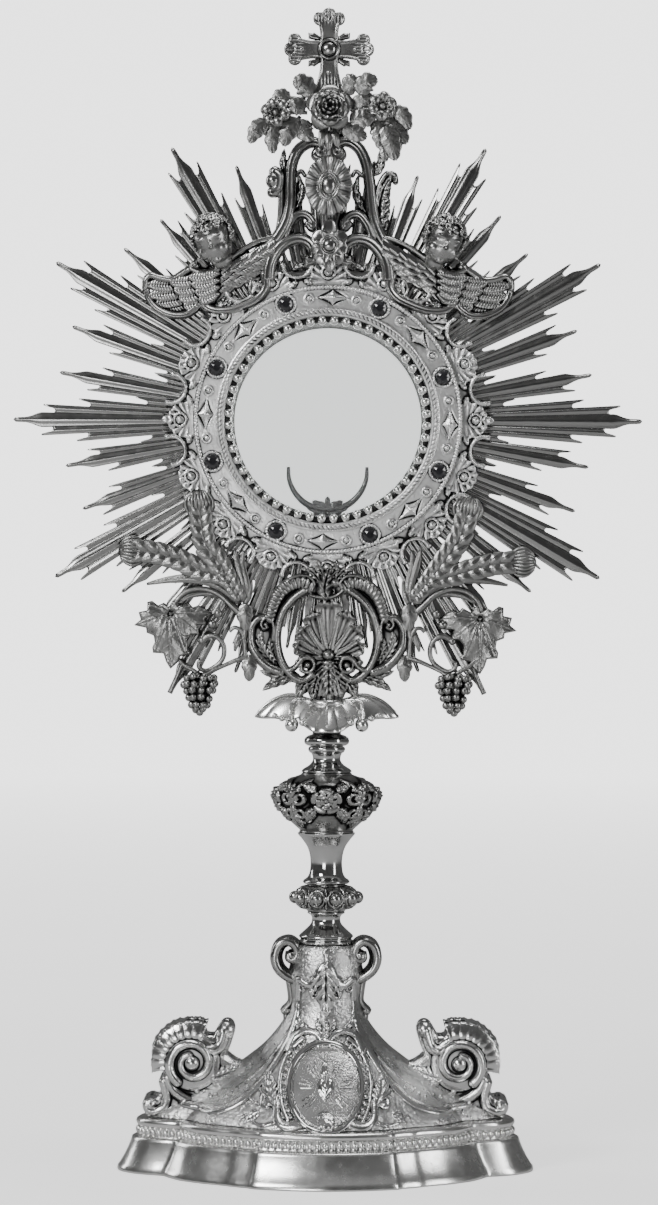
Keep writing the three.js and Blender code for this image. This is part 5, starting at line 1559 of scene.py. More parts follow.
def cartouche():
    relief = Relief(-44, 44, 260.5, 341, 0.4)
    relief.scroll([(-9, 278), (-9, 296)], 2.2, 2.2, 1.6, 0.2, "round")
    relief.fill([(-10, 279), (11, 279), (12, 300), (6, 312), (-6, 312), (-11, 300)], 1.6)
    shell(relief, 0.8, 286, [(-98, 17.5, 4.6), (98, 18.4, 4.6), (-70, 20, 5.2), (70, 20.5, 5.2),
                             (-45, 23, 6.0), (46, 24, 6.0), (-22, 26.5, 6.2), (23, 27, 6.2),
                             (0, 31.8, 8.2)], 1.2, 3.8)
    relief.dome(0.8, 287.6, 3.2, 2.6, 2.2, 4.4)
    for flipped in (False, True):
        curve = curves(flipped)
        body = [(-8, 277), (-12, 270), (-22, 273), (-31, 278), (-39, 285), (-42, 294), (-41.5, 303),
                (-37, 308), (-33, 306), (-31, 313), (-26.5, 322), (-19, 329), (-9, 330), (-9, 325),
                (-13, 323.4), (-19.4, 318.6), (-25.2, 311), (-28.2, 300), (-27.6, 290), (-24.2, 281),
                (-18, 275.4), (-12.6, 274.2), (-9, 277)]
        relief.fill(sided(body, flipped), 1.6, 0.6, soft=1.0)
        # polished frame of the opening
        relief.scroll(curve([(-8.4, 276.4), (-12.6, 273.6), (-18, 274.8), (-24, 281), (-27.4, 290),
                             (-28, 300), (-25, 311), (-19, 319), (-12.5, 323.6)], 7), 2.3, 2.7, 4.8, 1.4,
                      "round")
        relief.scroll(curve([(-14.6, 279.2), (-11.5, 277.8), (-8.2, 279.4), (-7.4, 283), (-10, 286.4),
                             (-14, 285.4), (-17.5, 281), (-21, 279)], 7), 1.1, 1.8, 4.6, 2.0, "round")
        u = 11.0 if flipped else -11.0
        relief.ring(u, 281.9, 3.5, 3.5, 1.3, 3.8, 1.8)
        relief.dome(u, 281.9, 1.9, 1.9, 2.8, 3.4)
        # outer leaf-filled scroll
        relief.scroll(curve([(-33.2, 303), (-35.6, 302.2), (-37, 305), (-34.6, 308), (-31, 306.6),
                             (-30, 301.8), (-30.4, 296)]), 1.0, 1.3, 4.4, 1.2, "round")
        relief.scroll(curve([(-33, 308.6), (-38.6, 307.8), (-42.4, 302.4), (-42.6, 294), (-39, 286.8),
                             (-33, 281), (-26, 278)], 7), 2.2, 3.1, 4.4, 1.0, "round")
        relief.dome(34.4 if flipped else -34.4, 304.6, 1.6, 1.6, 3.6, 1.8)
        relief.leaf(curve([(-27.5, 280), (-33, 286), (-37.4, 294), (-36.5, 301)]), 4.4, 2.4, 0.6, 8, 0.05,
                    0.2)
        relief.leaf(curve([(-27.6, 284), (-30.6, 290), (-32, 297)]), 3.0, 2.8, 0.8, 6, 0.05, 0.2)
        # ribbed shoulder
        path = curve([(-8.8, 326), (-14.6, 328.4), (-21.6, 326.6), (-27.4, 321), (-30.6, 314), (-32, 308)],
                     7)

        def ribs(t, q, s):
            body = np.sqrt(np.maximum(1 - q * q, 0)) ** 0.6
            return 4.0 * body * (0.76 + 0.24 * np.abs(np.cos(math.pi * s / 2.6 + 0.5 * q)) ** 0.8)

        relief.ribbon(path, lambda t: 4.6 * (1 - 0.3 * t) * (0.92 + 0.08 * np.abs(np.cos(t * 26))), ribs,
                      1.4)
        relief.scroll(curve([(-8.6, 323.6), (-7.2, 327.6), (-10.4, 331.4), (-16, 332), (-21, 330.2)]), 0.9,
                      1.1, 4.6, 2.2, "round")
        relief.leaf(curve([(-3, 327), (-8.5, 334), (-15, 336)]), 3.2, 4.2, 1.4, 4)
        relief.leaf(curve([(-1, 330), (-4.5, 336), (-5, 341)]), 3.0, 4.4, 1.6, 3)
        # leaves at the foot
        relief.leaf(curve([(-15, 276), (-24, 276.5), (-31, 276.8), (-37.6, 278.8)]), 3.2, 2.8, 0.8, 4)
        relief.leaf(curve([(-17, 275.5), (-26, 273.6), (-32, 270.6), (-36, 267.6)]), 3.4, 3.0, 0.8, 4)
        relief.leaf(curve([(-9, 276), (-13, 271), (-16.6, 263.6)]), 4.4, 3.2, 1.0, 4, 0.15)
        relief.leaf(curve([(-5, 277), (-7, 270), (-8, 262.4)]), 4.4, 3.8, 1.2, 5, 0.1)
    relief.leaf(spline([(0.8, 284), (1.0, 273), (1.4, 261)]), 7.6, 4.6, 1.6, 6, 0.1, 0.25)
    for u in (-4.6, -2.4, 3.8, 6.2):
        relief.scroll([(u * 0.4 + 0.8, 281), (u * 1.1 + 0.8, 265)], 0.6, 1.1, 1.2, 4.6, "round")
    for v in (280.4, 283.2):
        relief.dome(0.8, v, 3.6, 1.5, 2.2, 4.6)
    relief.leaf(spline([(0, 318.5), (-1.6, 325), (0.6, 334), (2.2, 338)]), 4.6, 5.6, 2.0, 4)
    relief.dome(-3.4, 324, 3.0, 3.6, 4.6, 2.6)
    relief.dome(4.4, 328, 3.2, 3.0, 4.8, 2.6)
    relief.scroll(spline([(-9, 321), (-3, 319.6), (4, 320.4), (9, 324)]), 1.3, 1.3, 4.0, 2.4, "round")
    heap = Heap()
    relief.into(heap, facing(0.5), 0.0)
    heap.piece("cartouche", SILVER_LEAF, replaces=("shell_cartouche",))


def leaf_collar():
    """A four-pointed leaf plate under the shell: the sides arch and droop, the front hangs, berries between."""
    heap = Heap()
    t = np.linspace(0, 1, 17)[:, None]
    a = np.linspace(0, ROUND, 321)[:-1][None, :]
    four = np.abs(np.cos(2 * a))
    sideways = np.abs(np.cos(a)) ** 3
    point = 0.56 + 0.28 * four ** 1.2 + 0.16 * four ** 7 + 0.035 * np.abs(np.cos(a * 8)) ** 0.6
    reach = 0.17 + 0.83 * t
    x = 39.0 * reach * point * np.cos(a) * (0.97 + 0.03 * four)
    y = 23.4 * reach * point * np.sin(a)
    side_fall = 4.6 * np.sin(math.pi * np.clip(t, 0, 1) ** 0.9) - 7.0 * t ** 4
    front_fall = 0.8 * np.sin(math.pi * t) - 15.0 * t ** 1.9
    z = 261.0 + sideways * side_fall + (1 - sideways) * front_fall * (0.55 + 0.45 * four)
    z = z + 0.3 * np.cos(a * 16) * t ** 6 - 0.5 * np.exp(-((1 - four) / 0.1) ** 2) * t
    grid = np.stack([x, y, z], -1)
    low = grid - [0, 0, 1.1]
    rows, columns = z.shape
    stain = np.concatenate([np.clip(np.broadcast_to(0.1 - 0.2 * four, z.shape), -0.3, 0.8),
                            np.full((rows, columns), 0.4)])
    heap.add(np.concatenate([grid, low[::-1]]).reshape(-1, 3), grid_faces(2 * rows, columns, True, True),
             stain.reshape(-1))
    for side in (-1, 1):
        for front in (-1, 1):
            for u, v, z0, size in ((19.6, 11.5, 248.6, 3.7), (13.5, 14.6, 250.2, 2.0),
                                   (25.0, 9.4, 252.4, 1.8), (29.0, 7.4, 254.0, 1.5)):
                ball(heap, (side * u, front * v, z0), (size,) * 3, rings=12, segments=18, tarnish=-0.1)
            tube(heap, spline([(side * 8, front * 3, 262), (side * 18, front * 6, 262.4),
                               (side * 20.4, front * 10, 257), (side * 19.8, front * 11.6, 251)], 5), 1.0,
                 8)
            ball(heap, (side * 15.5, front * 6.5, 262.0), (1.7, 1.7, 1.0), rings=8, segments=14)
        tube(heap, spline([(side * 9, 0, 262), (side * 20, 0, 265.6), (side * 31, 0, 262),
                           (side * 38.4, 0, 255.4)]), 0.8, 8)
        tube(heap, spline([(0, side * 8, 261.6), (0, side * 15, 258.4), (0, side * 22.4, 247.4)]), 0.8, 8)
    turned(heap, [(8.4, 258.6), (10.4, 259.0), (11.4, 260.6), (10.2, 262.6), (8.4, 262.8)], 48)
    heap.piece("collar", BRIGHT, replaces=("leaf_collar",), slot="bright_silver")


# ---------------------------------------------------------------- foot, dome and ornament
def foot_dome():
    heap = Heap()
    outer = [tuple(row) for row in spline(DOME, 3)]
    inner = [(max(z - 0.6, 30.4), hx - 2.2, hy - 2.2, mix) for z, hx, hy, mix in outer[::-1]]
    stacked(heap, outer + inner, 0.05)
    heap.piece("dome", MATTED, replaces=("foot_body",))


def on_dome(sign):
    """Places a relief on the dome, seen from the front (sign -1) or the rear (sign 1)."""
    return lambda u, v, h: (u, sign * (dome_depth(u, v) + h), v)


def on_axis_of_dome(sign, lift):
    """The same, but following the dome only up and down, for the flat-fronted medallion."""
    zs = np.array([d[0] for d in DOME])
    depth = np.array([d[2] for d in DOME])

    def place(u, v, h):
        y = np.interp(v, zs, depth) - 0.004 * u ** 2 + lift + h
        return u, sign * y, v
    return place


def ellipse(u, v, ru, rv, start, end, steps=40):
    a = np.radians(np.linspace(start, end, steps))
    return np.stack([u + ru * np.cos(a), v + rv * np.sin(a)], -1)


def foot_ornament():
    heap = Heap()
    relief = Relief(-86, 86, 30.8, 125.5, 0.45)
    for flipped in (False, True):
        curve = curves(flipped)
        # moulded edge that sweeps from the neck down to the consoles
        relief.scroll(curve([(-15.5, 104), (-15.8, 95), (-16.6, 87), (-20.6, 76), (-27, 65), (-36, 53),
                             (-48, 42.6), (-61, 37.8), (-74, 38.2), (-81, 40)]), 1.5, 2.2, 2.4, 0.1,
                      "round")
        relief.scroll(curve([(-18.2, 84), (-24.4, 73), (-32, 63.6), (-40, 56), (-50, 49)]), 0.6, 0.9, 1.1,
                      0.1, "round")
        relief.beads(curve([(-44, 50.6), (-54, 45.4), (-64, 43.6)]), 3.6, 1.3, 0.1)
        # volutes either side of the medallion
        relief.scroll(curve([(-32.6, 41.5), (-34.6, 42.6), (-34.4, 46), (-30.4, 47.4), (-27.0, 44),
                             (-26.8, 38), (-24.6, 34), (-19.6, 32.4), (-14, 34.2)]), 1.6, 3.0, 3.4, 0.1,
                      "round")
        relief.dome(32.4 if flipped else -32.4, 42.4, 2.3, 2.3, 2.8, 0.2)
        relief.leaf(curve([(-27.4, 42), (-31, 50), (-30.4, 58.4)], 5), 5.4, 3.0, 0.2, 5, 0.1, 0.2)
        relief.leaf(curve([(-36, 39), (-40, 36.5), (-43.5, 33.5)], 5), 2.6, 1.8, 0.2, 4)
        relief.scroll(curve([(-40, 33.4), (-34, 32.4), (-27, 34.6)], 5), 0.9, 1.2, 1.8, 0.1, "round")
        relief.scroll(curve([(-46.6, 34), (-44.6, 36.4), (-42.6, 34.6), (-44.2, 32.8)], 5), 0.8, 0.8, 1.4,
                      0.1, "round")
        # bead rows round the medallion
        a, b = (60, -35) if flipped else (120, 215)
        relief.beads(ellipse(0, 52, 22.6, 25.2, a, b), 3.4, 1.35, 0.6)
        relief.scroll(ellipse(0, 52, 25.2, 28.0, a, b), 1.4, 1.4, 2.2, 0.1, "round")
        # crest over the medallion
        relief.scroll(curve([(-5.6, 74), (-3.2, 72.4), (-2.4, 75.6), (-6, 79.4), (-12, 80), (-17.6, 76.4),
                             (-20.4, 70)]), 1.6, 2.3, 3.2, 0.2, "round")
        relief.leaf(curve([(-8, 79.5), (-13.5, 83), (-16, 88)], 5), 2.4, 1.8, 0.2, 4)
        relief.leaf(curve([(-1.5, 79), (-4.5, 83.5), (-4.4, 87)], 5), 1.9, 2.0, 0.2, 3)
        # acanthus pendant on the neck, carried by scrolls from the ears
        relief.scroll(curve([(-15, 107), (-9.6, 104.6), (-5.4, 108.4), (-3.2, 113.8), (-0.6, 116.4)]), 2.6,
                      2.1, 3.0, 0.2, "round")
        relief.leaf(curve([(-2.2, 112), (-6.2, 106), (-8.4, 98)], 5), 3.8, 2.8, 0.3, 4)
        relief.scroll(curve([(-5.4, 102.4), (-7.8, 100.8), (-7.6, 97.8), (-5.0, 98.4)], 5), 0.9, 0.9, 2.2,
                      0.2, "round")
        relief.scroll(curve([(-16, 103), (-13.2, 100.8), (-11.6, 103)], 5), 0.9, 0.9, 1.6, 0.1, "round")
        relief.leaf(curve([(-2, 34), (-6.4, 31.6), (-10.6, 33.6)], 5), 2.4, 2.4, 0.8, 3)
    relief.leaf(spline([(0, 117), (0, 102), (0, 88)]), 6.6, 3.8, 0.4, 5, 0.16)
    relief.dome(0, 116, 2.4, 2.2, 2.6, 0.4)
    relief.dome(0, 90.2, 1.9, 2.6, 2.6, 0.4)
    relief.leaf(spline([(0, 76), (0, 81), (0, 86.4)], 5), 2.8, 3.0, 0.4, 3)
    relief.dome(0, 76.4, 2.0, 2.0, 2.6, 1.0)
    # ribbed tassel under the medallion
    relief.dome(0, 35.8, 5.4, 5.2, 3.6, 1.6)
    for v in (39.2, 37.2, 35.2):
        relief.scroll(ellipse(0, v - 3, 4.6, 3.4, 20, 160, 12), 0.6, 0.6, 1.2, 4.0, "round")
    for u in (-3, 0, 3):
        relief.leaf([(u * 0.6, 35), (u * 1.2, 31)], 1.5, 2.0, 3.0, 1, 0)
    for sign in (-1, 1):
        relief.into(heap, on_dome(sign), -1.0)
    heap.piece("foot_ornament", SILVER_FOOT_LIT)


def medallions():
    for sign, name, node in ((-1, "medallion_front", "foot_medallion_front"),
                             (1, "medallion_rear", "foot_medallion_rear")):
        field = Relief(-22, 22, 29.6, 76, 0.42)
        field.dome(0, 52.4, 20.6, 22.8, 1.1, 1.0, power=0.25)
        stipple = 0.14 * np.cos(field.U * 5.1 + 2 * np.sin(field.V * 1.7)) * np.cos(field.V * 5.7)
        field.h += np.where(field.inside > 0, stipple, 0)
        heap = Heap()
        field.into(heap, on_axis_of_dome(sign, 0.4), -1.0)
        heap.piece(name, SILVER_FOOT_LIT, replaces=(node,))
        relief = Relief(-24, 24, 28.6, 78, 0.4)
        relief.ring(0, 52.4, 20.2, 22.4, 2.9, 1.9, 1.3)
        relief.ring(0, 52.4, 17.9, 20.1, 0.8, 0.7, 1.9)
        t = np.linspace(0, ROUND, 40, endpoint=False)
        heart = np.stack([4.8 * np.sin(t) ** 3, 51.8 + 0.41 * (13 * np.cos(t) - 5 * np.cos(2 * t)
                                                               - 2 * np.cos(3 * t) - np.cos(4 * t))], -1)
        relief.fill(heart, 3.2, 1.8, soft=3.6)
        relief.leaf(spline([(0, 57.5), (-0.8, 61.5), (0.6, 66)], 5), 2.0, 1.8, 1.9, 2)
        for start in (8, 52, 128, 172, 214, 326):
            for step in (-9, 0, 9):
                a = math.radians(start + step)
                inner, outer = 7.6, 15.6 - 0.12 * abs(step) ** 1.2
                path = [(inner * math.cos(a), 52 + inner * math.sin(a)),
                        (outer * math.cos(a), 52 + 1.1 * outer * math.sin(a))]
                relief.scroll(path, 0.42, 0.3, 0.6, 2.0, "round")
        heap = Heap()
        relief.into(heap, on_axis_of_dome(sign, 0.4), 0.9)
        heap.piece(name + "_rim", POLISHED, slot="bright_silver")


CONSOLE = [(38, 31), (99, 31), (101.2, 34), (101.2, 39), (98, 41.4), (93.6, 41), (90, 46), (89.6, 55),
           (94.6, 59), (96.6, 66), (95, 73), (89.5, 79.4), (82, 83), (75, 82.4), (69.5, 79), (66, 75.4),
           (62.4, 75.4), (60, 79.6), (56.8, 83), (52.4, 82), (50.6, 77.6), (52.6, 71), (55, 65), (50, 61.4),
           (44.8, 60), (38, 61.6)]


def consoles():
    relief = Relief(37, 102, 30.5, 84, 0.42)
    deep = 12.5
    relief.fill(CONSOLE, 1.6, deep, soft=3.2)
    relief.inside = np.where(relief.V < 31.2, -0.5, relief.inside)
    centre = np.array([74.3, 60.8])
    # fluted shell crest about the volute
    w = (slice(None), slice(None))
    du, dv = relief.U - centre[0], relief.V - centre[1]
    r, a = np.hypot(du, dv), np.arctan2(dv, du)
    crest = np.minimum(np.minimum(22.6 + 0.5 * np.abs(np.cos(a * 11)) - r, r - 13.0),
                       np.minimum(a + 0.25, 1.95 - a) * 15)
    flute = 0.86 + 0.14 * np.abs(np.cos(a * 13)) ** 0.7
    relief.put(w, crest, deep + 1.4 + 2.6 * flute * np.sin(np.clip((23.4 - r) / 10, 0, 1) * 2.0))
    relief.dome(*centre, 15.5, 15.5, 3.6, deep + 0.8, power=0.25)
    relief.scroll(volute(*centre, 13.2, -52, 1.35, 0.36, 60), 3.0, 2.2, 4.2, deep + 2.4, "round")
    relief.dome(*centre, 4.2, 4.2, 4.0, deep + 3.4)
    relief.scroll(spline([(88, 52), (84, 45), (75, 39.8), (62, 38.2), (50, 41.6), (38, 49)], 7), 3.0, 2.6,
                  4.4, deep + 0.4, "round")
    relief.beads(spline([(80, 49), (71, 45.4), (60, 44.6), (49, 47.4)]), 4.4, 1.6, deep + 1.4)
    relief.scroll(spline([(62, 50), (54, 50.6), (44, 54.4), (38, 58)]), 1.4, 1.6, 2.4, deep + 0.6, "round")
    relief.leaf(spline([(66, 52), (57, 54), (47, 58)]), 4.6, 2.4, deep + 1.0, 7, 0.08)
    # knob, lower curl and the smooth panel below
    relief.scroll(spline([(72, 70.5), (64, 67.8), (58.6, 70), (56, 77.4)]), 3.0, 3.4, 4.2, deep + 0.8,
                  "round")
    relief.dome(55.2, 78.6, 4.5, 4.5, 4.8, deep)
    relief.scroll(spline([(90, 50), (88.4, 43), (89.6, 37), (94, 34), (98.4, 34.6), (99.6, 38),
                          (97, 39.6)]), 2.9, 2.2, 4.2, deep + 0.4, "round")
    relief.dome(97.4, 37.4, 3.0, 3.0, 4.2, deep + 0.4)
    relief.dome(72, 34.5, 17, 3.6, 1.8, deep + 1.2, power=0.4)
    relief.h -= np.interp(relief.U, [37, 44, 62], [10.5, 7.5, 0])
    relief.h = np.maximum(relief.h, 0.6)
    verts, faces, stain = relief.geometry(lambda u, v, h: (u, -h, v), 0.0)
    for side, name, node in ((-1, "console_l", "foot_console_left"), (1, "console_r",
                                                                      "foot_console_right")):
        heap = Heap()
        for flat in (1, -1):
            heap.add(verts * [side, flat, 1], faces, stain)
        # crest ribs and the rolled upper edge carry right across
        edge = [(66, 75), (69.5, 78.6), (75, 82), (82, 82.6), (89, 79), (94.6, 73), (96.2, 66), (94, 59.4),
                (89.6, 55.4), (89.2, 47)]
        path = spline([(side * x, 0, z) for x, z in edge])
        tube(heap, path, 0.9 + 0.25 * np.cos(np.arange(len(path)) * 2.1), 24, 0.1, squash=13.5)
        for x, z, size in ((55.3, 78.8, 4.2), (97.6, 37.2, 3.6)):
            tube(heap, [(side * x, -14.5, z), (side * x, 14.5, z)], size, 20)
        heap.piece(name, SILVER_FOOT_LIT, replaces=(node,))


def neck_ears():
    """Rolled volutes standing out at the head of the neck, and the small knobs at its waist."""
    heap = Heap()
    for side in (-1, 1):
        outer = [(15, 105.4), (21, 107.6), (26.6, 112.4), (28.6, 119), (26.4, 125.4), (21.6, 127.8),
                 (17.4, 125.4), (16, 121), (18, 117.6), (20.8, 118.4), (20.8, 121)]
        path = spline([(side * x, 0, z) for x, z in outer])
        size = np.interp(np.linspace(0, 1, len(path)), [0, 0.4, 0.75, 1], [3.2, 3.5, 3.0, 2.4])
        tube(heap, path * [0.965, 1, 1], size, 24, 0.05, squash=2.6)
        for y in (-7.6, 7.6):
            tube(heap, path + [0, y, 0], size * 0.62 + 0.5, 12, -0.1)
            ball(heap, (side * 19.4, y, 119.8), (2.6, 2.2, 2.6), rings=10, segments=16)
        tube(heap, spline([(side * x, 0, z) for x, z in ((21.5, 109), (20, 101), (19.6, 94), (22.6, 90),
                                                         (24.2, 88))]), 1.9, 20, 0.1, squash=3.4)
        ball(heap, (side * 22.4, 0, 88.8), (3.0, 7.0, 3.2), rings=12, segments=18)
        tube(heap, spline([(side * x, 0, z) for x, z in ((22.4, 87), (22.6, 80), (27, 71), (35, 63.4),
                                                         (44, 60))]), 1.6, 20, 0.1, squash=3.6)
    heap.piece("neck_ears", SILVER)


# ---------------------------------------------------------------- chamber, door and lunula
def block(heap, low, high, bevel=0.4):
    """A box with softened edges."""
    low, high = np.array(low, float), np.array(high, float)
    verts = []
    for z, inset in ((low[2], bevel), (low[2] + bevel, 0), (high[2] - bevel, 0), (high[2], bevel)):
        x0, y0, x1, y1 = low[0] + inset, low[1] + inset, high[0] - inset, high[1] - inset
        c = bevel * 0.8
        verts += [(x0 + c, y0, z), (x1 - c, y0, z), (x1, y0 + c, z), (x1, y1 - c, z), (x1 - c, y1, z),
                  (x0 + c, y1, z), (x0, y1 - c, z), (x0, y0 + c, z)]
    faces = grid_faces(4, 8, False, True) + [tuple(range(7, -1, -1)), tuple(range(24, 32))]
    heap.add(verts, faces, 0.05)


def chamber():
    heap = Heap()
    centre = (0, 0, RING_Z)
    turned(heap, [(57.9, -3.6), (61.4, -3.6), (61.8, -3.2), (61.8, 4.3), (79.4, 4.3), (79.9, 4.7),
                  (79.9, 5.9), (79.4, 6.3), (77, 6.3), (76.4, 5.9), (75.6, 6.3), (62.4, 6.3), (61.9, 6.9),
                  (61.7, 8.2), (62.2, 9.0), (61.7, 9.8), (61.7, 13.2), (61.3, 13.8), (58.3, 13.8),
                  (57.9, 13.4)], 160, "y", centre)
    for low, high in ((423.4, 430.4), (407.6, 414.6)):
        block(heap, (64.4, 5.8, low), (69.6, 15.2, high))
        tube(heap, [(67, 17, low), (67, 17, high)], 2.7, 24)
    block(heap, (-71.6, 6.0, 414.4), (-62.6, 13.6, 423.6))
    for k in range(12):
        x, z = on_ring(70, 15 + 30 * k)
        ball(heap, (x, 6.3, z), (1.7, 1.1, 1.7), rings=8, segments=16)
    heap.piece("chamber", SILVER, replaces=("chamber_case",))

    heap = Heap()
    low, high = 259, 343.6
    outline = [(-8.0, low), (8.0, low), (9.5, 275), (12.6, 300), (12.6, 330), (10, high), (-10, high),
               (-12.6, 330), (-12.6, 300), (-9.5, 275)]
    relief = Relief(-13.4, 13.4, 258.2, 344.4, 0.6)
    relief.fill(outline, 1.4, 0.8, soft=1.2)
    relief.scroll([(0, 264), (0, 338)], 2.0, 2.6, 1.4, 2.0, "round")
    for sign in (-1, 1):
        relief.scroll([(sign * 6, 266), (sign * 9.4, 300), (sign * 9.2, 336)], 0.8, 0.8, 1.0, 2.0, "round")
    for v in (312, 333):
        relief.dome(0, v, 3.4, 3.4, 1.6, 2.6)
    relief.into(heap, lambda u, v, h: (u, 5.8 + h, v), -4.6)
    heap.piece("bracket", SILVER, replaces=("rear_bracket",))

    heap = Heap()
    tube(heap, [(67, 17, 407.4), (67, 17, 430.6)], 1.15, 20)
    for z in (406.9, 431.1):
        ball(heap, (67, 17, z), (1.9, 1.9, 1.3), rings=8, segments=16)
    heap.piece("hinge_pin", BRIGHT, replaces=("door_hinge_pin",), slot="bright_silver")

    heap = Heap()
    turned(heap, [(52.7, 14.6), (63.0, 14.6), (63.3, 15.0), (63.3, 16.6), (62.6, 17.3), (61.2, 17.4),
                  (60.6, 17.9), (59.4, 18.5), (57.9, 18.4), (57.2, 17.8), (56.2, 18.2), (54.6, 18.3),
                  (53.6, 17.8), (52.7, 17.0)], 160, "y", centre)
    rope(heap, 59.4, 18.0, 0.75, 120, 8, 4)
    block(heap, (-71.6, 14.7, 414.8), (-62.4, 17.4, 423.2))
    block(heap, (62.6, 15.0, 415.6), (66.4, 17.6, 422.4))
    tube(heap, [(67, 17, 415.4), (67, 17, 422.6)], 2.6, 24)
    heap.piece("door_frame", SILVER, replaces=("rear_door",), body="door")

    heap = Heap()
    turned(heap, [(0.05, 10.6), (1.6, 10.6), (1.6, 18.0), (3.0, 18.2), (3.4, 18.9), (2.4, 19.8),
                  (2.2, 20.6), (4.6, 21.4), (5.9, 22.5), (5.6, 23.7), (3.6, 24.4), (0.05, 24.5)], 48, "y",
           (-67, 0, RING_Z), False, lambda r, h, a: (r * (1 + 0.035 * np.cos(a * 16) * (r > 4.4)), h))
    heap.piece("knob", BRIGHT, replaces=("door_knob",), slot="bright_silver", body="door_knob")


def crescent(heap, y, rise):
    """A thin crescent, thickest at the bottom, its horns drawn to points."""
    points = [(-22, 393), (-21.6, 386), (-18.6, 379), (-13, 373), (-6, 369.8), (0, 369.2), (6, 369.8),
              (13, 373), (18.6, 379), (21.6, 386), (22, 393)]
    path = spline([(x, y, z) for x, z in points])
    t = np.linspace(-1, 1, len(path))
    tube(heap, path, 1.15 * rise * (1 - 0.55 * np.abs(t) ** 1.6), 14, 0.05)


def lunula():
    heap = Heap()
    crescent(heap, 4.0, 1.75)
    for k in range(-3, 4):
        ball(heap, (k * 2.3, 4.0, 366.9 + 0.12 * k * k), (1.5, 1.6, 1.5), rings=8, segments=14)
    for s in (-1, 1):
        blade(heap, [(0, 3.0, 367.5), (s * 3.5, 2.4, 371.6), (s * 8.5, 3.0, 373.6)], 2.0, fold=0.3, lobes=3,
              thick=0.7)
        blade(heap, [(s * 1, 3.0, 367), (s * 6, 2.6, 368), (s * 11.5, 3.2, 370.4)], 1.7, fold=0.3, lobes=3,
              thick=0.7)
        block(heap, (s * 5.8 - 1.1, 4.4, 366.4), (s * 5.8 + 1.1, 10.6, 371.2), 0.3)
    blade(heap, [(0, 3.0, 366.5), (0, 2.3, 371), (0, 3.0, 376.4)], 2.1, fold=0.3, lobes=3, thick=0.7)
    block(heap, (-6.8, 2.8, 364.6), (6.8, 10.6, 366.2), 0.3)
    heap.piece("lunula", SILVER_SHADED, replaces=("lunula_front",), body="lunula")

    heap = Heap()
    crescent(heap, 7.2, 1.3)
    block(heap, (-4.2, 6.4, 368.7), (4.2, 10.2, 371.0), 0.4)
    tube(heap, [(-4.4, 9.1, 369.8), (4.4, 9.1, 369.8)], 1.15, 16)
    heap.piece("lunula_spring", SILVER_SHADED, replaces=("lunula_clip",), body="lunula_clip")

    heap = Heap()
    block(heap, (-8.8, 2.6, 362.8), (8.8, 10.4, 364.2), 0.3)
    for s in (-1, 1):
        block(heap, (s * 8.1 - 0.7, 2.6, 362.8), (s * 8.1 + 0.7, 10.4, 366.2), 0.3)
    heap.piece("socket", SILVER, replaces=("lunula_socket",))


def hidden_rod():
    heap = Heap()
    tube(heap, [(0, 0, 108.2), (0, 0, 262)], 2.4, 20, 0.2)
    turned(heap, [(0.05, 259.6), (4.2, 259.6), (4.5, 260.2), (4.5, 264.4), (4.0, 265.0), (0.05, 265.1)], 6)
    heap.piece("rod", SILVER, replaces=("tie_rod",))
    heap = Heap()
    turned(heap, [(3.0, 114.2), (8.6, 114.2), (8.9, 115), (8.9, 120.8), (8.4, 121.6), (3.0, 121.6)], 24)
    heap.piece("nut", SILVER, replaces=("tie_nut",))


def glasses():
    for node in ("front_glass", "rear_glass"):
        part = bpy.data.objects[node]
        for holder in part.material_slots:
            holder.material = GLASS


# ---------------------------------------------------------------- studio
def stage_material():
    """Matt white paper that glows a little far from the object, so that the wall reads evenly pale."""
    material, tree, shader = node_material("studio_paper")
    tree.links.new(ramp_node(tree, noise(tree, 3, 2), [(0.3, (0.5, 0.5, 0.5)), (0.7, (0.54, 0.54, 0.54))]),
                   shader.inputs["Base Color"])
    shader.inputs["Roughness"].default_value = 0.85
    geometry = tree.nodes.new("ShaderNodeNewGeometry")
    length = tree.nodes.new("ShaderNodeVectorMath")
    length.operation = "LENGTH"
    tree.links.new(geometry.outputs["Position"], length.inputs[0])
    far = tree.nodes.new("ShaderNodeMapRange")
    far.inputs["From Min"].default_value = -3.0
    far.inputs["From Max"].default_value = 4.5
    tree.links.new(length.outputs["Value"], far.inputs["Value"])
    path = tree.nodes.new("ShaderNodeLightPath")
    seen = maths(tree, "ADD", path.outputs["Is Camera Ray"],
                 maths(tree, "MULTIPLY", path.outputs["Is Transmission Ray"], 0.5), clamp=True)
    glow = maths(tree, "MULTIPLY", maths(tree, "MULTIPLY", far.outputs["Result"], seen), GLOW)
    shader.inputs["Emission Color"].default_value = (1, 1, 1, 1)
    tree.links.new(glow, shader.inputs["Emission Strength"])
    return material


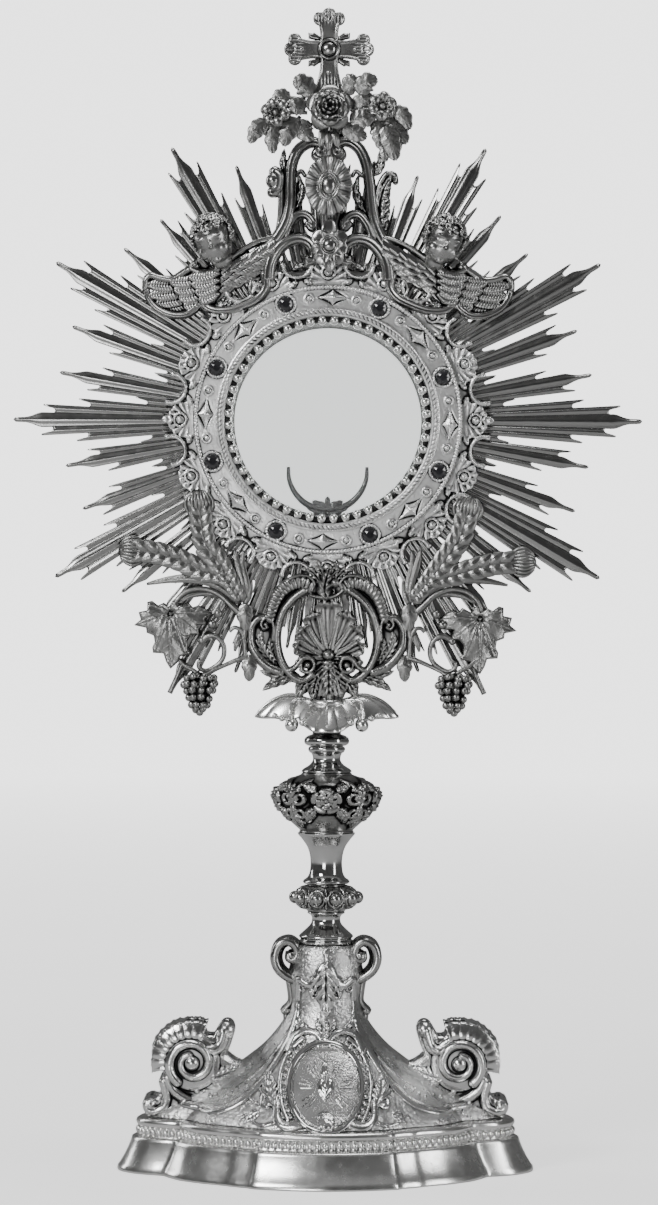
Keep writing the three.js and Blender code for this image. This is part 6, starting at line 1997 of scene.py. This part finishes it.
def backdrop():
    """A round floor that curves up into a wall, all one pale sheet."""
    floor, bend, top = 4.6, 1.6, 6.5
    profile = [(1.0, 0.0), (2.5, 0.0), (floor, 0.0)]
    for k in range(1, 13):
        a = math.pi / 2 * k / 12
        profile.append((floor + bend * math.sin(a), bend - bend * math.cos(a)))
    profile.append((6.2, top))
    verts, segments = [], 96
    for r, z in profile:
        for k in range(segments):
            a = 2 * math.pi * k / segments
            verts.append((r * math.cos(a), r * math.sin(a), z))
    faces = grid_faces(len(profile), segments, False, True) + [tuple(reversed(range(segments)))]
    mesh = bpy.data.meshes.new("backdrop")
    mesh.from_pydata(verts, [], faces)
    solid = bmesh.new()
    solid.from_mesh(mesh)
    bmesh.ops.recalc_face_normals(solid, faces=solid.faces)
    solid.to_mesh(mesh)
    solid.free()
    mesh.materials.append(stage_material())
    sheet = bpy.data.objects.new("backdrop", mesh)
    scene.collection.objects.link(sheet)
    for polygon in mesh.polygons:
        polygon.use_smooth = True


# name, place and target in metres, width and height, watts
LAMPS = [("key", (-1.3, -1.5, 1.5), (0, 0, 0.35), (0.7, 0.7), 36),
         ("fill", (1.7, -0.9, 0.6), (0, 0, 0.3), (0.3, 1.2), 11),
         ("front", (-0.5, -1.7, 0.15), (0, 0, 0.08), (0.5, 0.4), 7),
         ("rim", (-1.6, 0.9, 0.9), (0, 0, 0.4), (0.3, 1.2), 8),
         ("top", (0.1, 0.1, 1.9), (0, 0, 0.3), (1.0, 0.5), 16)]


def softbox(name, place, target, size, power):
    data = bpy.data.lights.new(name, "AREA")
    data.shape = "RECTANGLE"
    data.size, data.size_y = size
    data.energy = power
    lamp = bpy.data.objects.new(name, data)
    lamp.location = place
    lamp.rotation_euler = (Vector(target) - Vector(place)).to_track_quat("-Z", "Y").to_euler()
    scene.collection.objects.link(lamp)


def studio():
    world = bpy.data.worlds.new("studio")
    scene.world = world
    world.use_nodes = True
    background = world.node_tree.nodes["Background"]
    background.inputs["Color"].default_value = (0.9, 0.9, 0.9, 1)
    background.inputs["Strength"].default_value = 0.3
    for lamp in LAMPS:
        softbox(*lamp)
    camera = bpy.data.objects.new("camera", bpy.data.cameras.new("camera"))
    scene.collection.objects.link(camera)
    camera.data.sensor_width = 36
    camera.data.lens = 106.7
    camera.location = (0.001, -2.0, 0.317)
    level, roll = Matrix.Rotation(math.radians(90), 4, "X"), Matrix.Rotation(math.radians(0.2), 4, "Z")
    camera.rotation_euler = (level @ roll).to_euler()
    scene.camera = camera


for build in (ray_sectors, pearls, bezel_band, stones, gallery, stem, main_knop, lower_knop, foot_skirt,
              crown, rosette, cross, bouquet, cherubs, wheat, vines, cartouche, leaf_collar, foot_dome,
              foot_ornament, medallions, consoles, neck_ears, chamber, lunula, hidden_rod, glasses):
    build()
backdrop()
studio()
